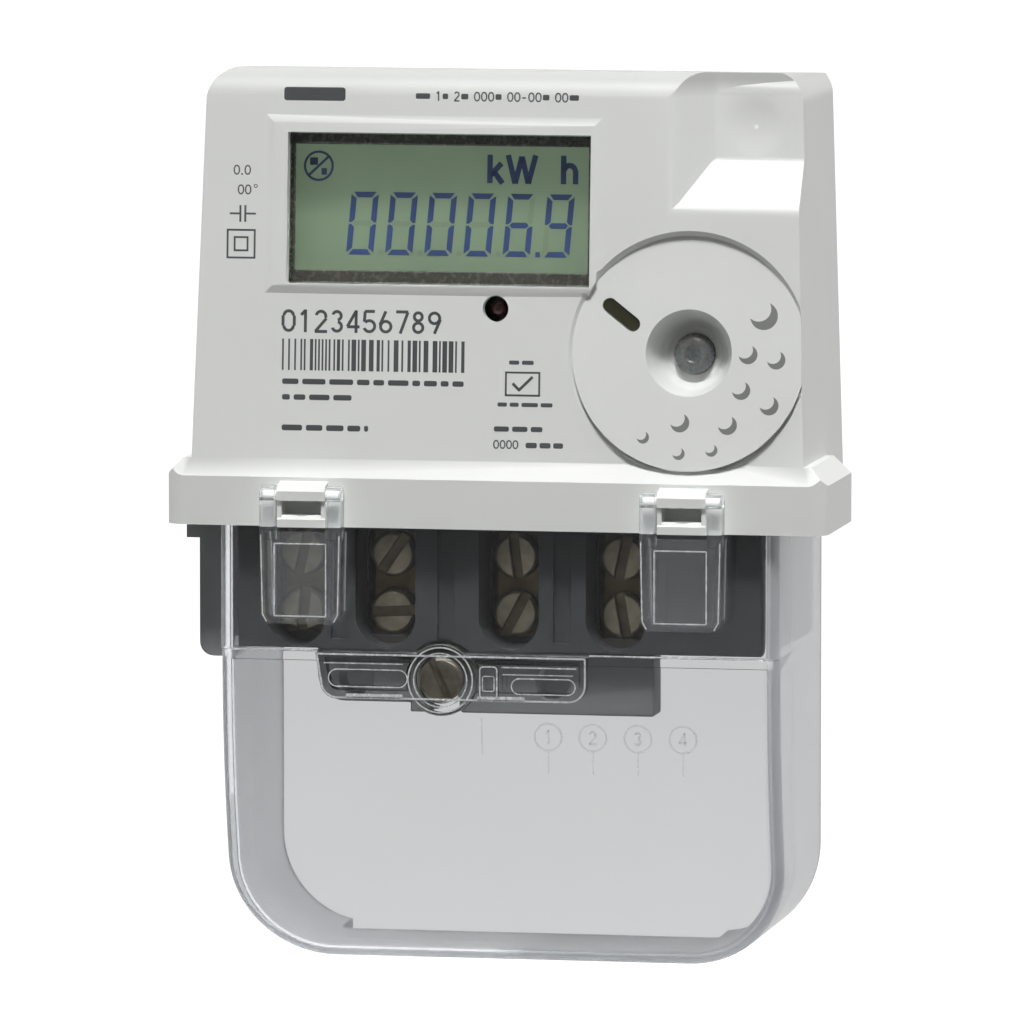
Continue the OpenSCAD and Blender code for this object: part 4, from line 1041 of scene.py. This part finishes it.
def crescent(pr, cx, cz, r):
    """Plain crescent, open towards the upper left."""
    ang = 128.0
    outer = arc2(0, 0, r, ang + 62, ang + 360 - 62, 26)
    a0, a1 = math.radians(ang + 62), math.radians(ang - 62)
    ox, oz = math.cos(math.radians(ang)) * r * 0.62, math.sin(math.radians(ang)) * r * 0.62
    p, q = (r * math.cos(a0), r * math.sin(a0)), (r * math.cos(a1), r * math.sin(a1))
    ri = math.hypot(p[0] - ox, p[1] - oz)
    t1 = math.atan2(q[1] - oz, q[0] - ox)
    t0 = math.atan2(p[1] - oz, p[0] - ox)
    while t1 > t0:
        t0 += 2 * math.pi
    inner = [(ox + ri * math.cos(t1 + (t0 - t1) * k / 18), oz + ri * math.sin(t1 + (t0 - t1) * k / 18)) for k in range(1, 18)]
    # the inner edge bulges towards the middle of the disc
    if math.hypot(*inner[8]) > r:
        t0 -= 2 * math.pi
        inner = [(ox + ri * math.cos(t1 + (t0 - t1) * k / 18), oz + ri * math.sin(t1 + (t0 - t1) * k / 18)) for k in range(1, 18)]
    pr.poly([(cx + x, cz + z) for x, z in outer + inner])


def dial_prints():
    P = Print(0.0, 0.03)
    base = fs(DIAL_Z)
    for x, z, d in ((48.1, 38.8, 5.0), (45.4, 31.9, 3.4), (50.5, 31.0, 3.3), (44.3, 25.5, 3.3), (49.4, 22.9, 3.4),
                    (42.0, 19.3, 3.4), (33.4, 19.6, 3.4), (26.8, 16.9, 2.2), (33.3, 14.1, 2.2), (39.2, 14.8, 2.2)):
        lx, lz = x - DIAL_X, (S(z) - base)
        crescent(P, lx, lz, d * 0.5)
    P.make("dial_marks", INKDOT, None, DIAL)


dial_prints()


def cover_numbers():
    """Ringed terminal numbers moulded on the clear front, each with its short leader."""
    z0 = -37.4
    lean = math.atan2(cover_front_y(z0 + 2) - cover_front_y(z0 - 2), 4.0)
    frame_ = Matrix.Translation((0, cover_front_y(z0), z0)) @ Matrix.Rotation(-lean, 4, "X")
    P = Print(0.0, 0.10)
    for i, x in enumerate((9.1, 17.2, 25.4, 33.6)):
        P.ring(x, 0.0, 2.6, 0.3, 40)
        number(P, str(i + 1), x - 0.72, -1.25, 2.5, 0.36)
        P.bar(x - 0.12, -6.6, x + 0.12, -2.75)
    P.bar(-3.1, -3.4, -2.85, 3.2)
    P.make("cover_terminal_numbers", EMBOSS, "clear_cover_plastic", frame_, "terminal_cover")


cover_numbers()


def add_painted_edge_highlights():
    """Thin whitish strips along the edges of the clear mouldings: painted highlights."""
    I = Matrix.Identity(4)
    P = Print(-47.9, 0.05)
    P.path(lug_outline(0.25), 0.32)
    P.bar(-27.4, -30.85, -17.0, -30.1, 0.2)
    P.bar(-3.4, -30.85, 5.2, -30.1, 0.2)
    P.path(stadium(-23.4, -27.3, 14.4, 1.55, 0), 0.2)
    P.path(stadium(8.6, -28.2, 11.6, 1.4, 0), 0.2)
    P.bar(-31.4, -24.75, -17.0, -24.55)
    P.bar(1.0, -24.95, 14.6, -24.7)
    P.bar(1.2, -26.2, 14.0, -26.03)
    P.make("cover_lug_edge_highlights", PAINTED_EDGE_HIGHLIGHT, "clear_cover_plastic", I, "terminal_cover")
    P = Print(-47.7, 0.05)
    P.ring(SX, SZ, 6.0, 0.26, 64)
    P.ring(SX, SZ, 4.95, 0.22, 64)
    P.make("cover_boss_edge_highlights", PAINTED_EDGE_HIGHLIGHT, "clear_cover_plastic", I, "terminal_cover")
    P = Print(-48.7, 0.05)
    P.path(rrect(-2.8, -30.4, 0.3, -24.7, 0.6, 4), 0.24)
    P.path(rrect(-2.3, -29.1, -0.2, -26.4, 0.3, 3), 0.18)
    P.make("cover_clip_edge_highlights", PAINTED_EDGE_HIGHLIGHT, "clear_cover_plastic", I, "terminal_cover")
    P = Print(-47.3, 0.04)
    P.bar(-49.2, -22.6, -33.5, -22.35)
    P.bar(16.8, -22.6, 49.2, -22.35)
    P.make("cover_step_edge_highlights", PAINTED_EDGE_HIGHLIGHT, "clear_cover_plastic", I, "terminal_cover")
    for side, cx in (("left", -LATCH_X), ("right", LATCH_X)):
        P = Print(-(LATCH_Y + 1.8), 0.04)
        P.path([(cx - 4.7, -15.7), (cx + 4.7, -15.7), (cx + 4.7, -2.7), (cx - 4.7, -2.7)], 0.24)
        for sx in (-1, 1):
            P.path([(cx + sx * 7.15, -1.2), (cx + sx * 6.85, -15.4), (cx + sx * 6.1, -16.75)], 0.22, False)
        P.make("latch_edge_highlights_" + side, PAINTED_EDGE_HIGHLIGHT, "clear_cover_plastic", I, "seal_latch_" + side)


add_painted_edge_highlights()
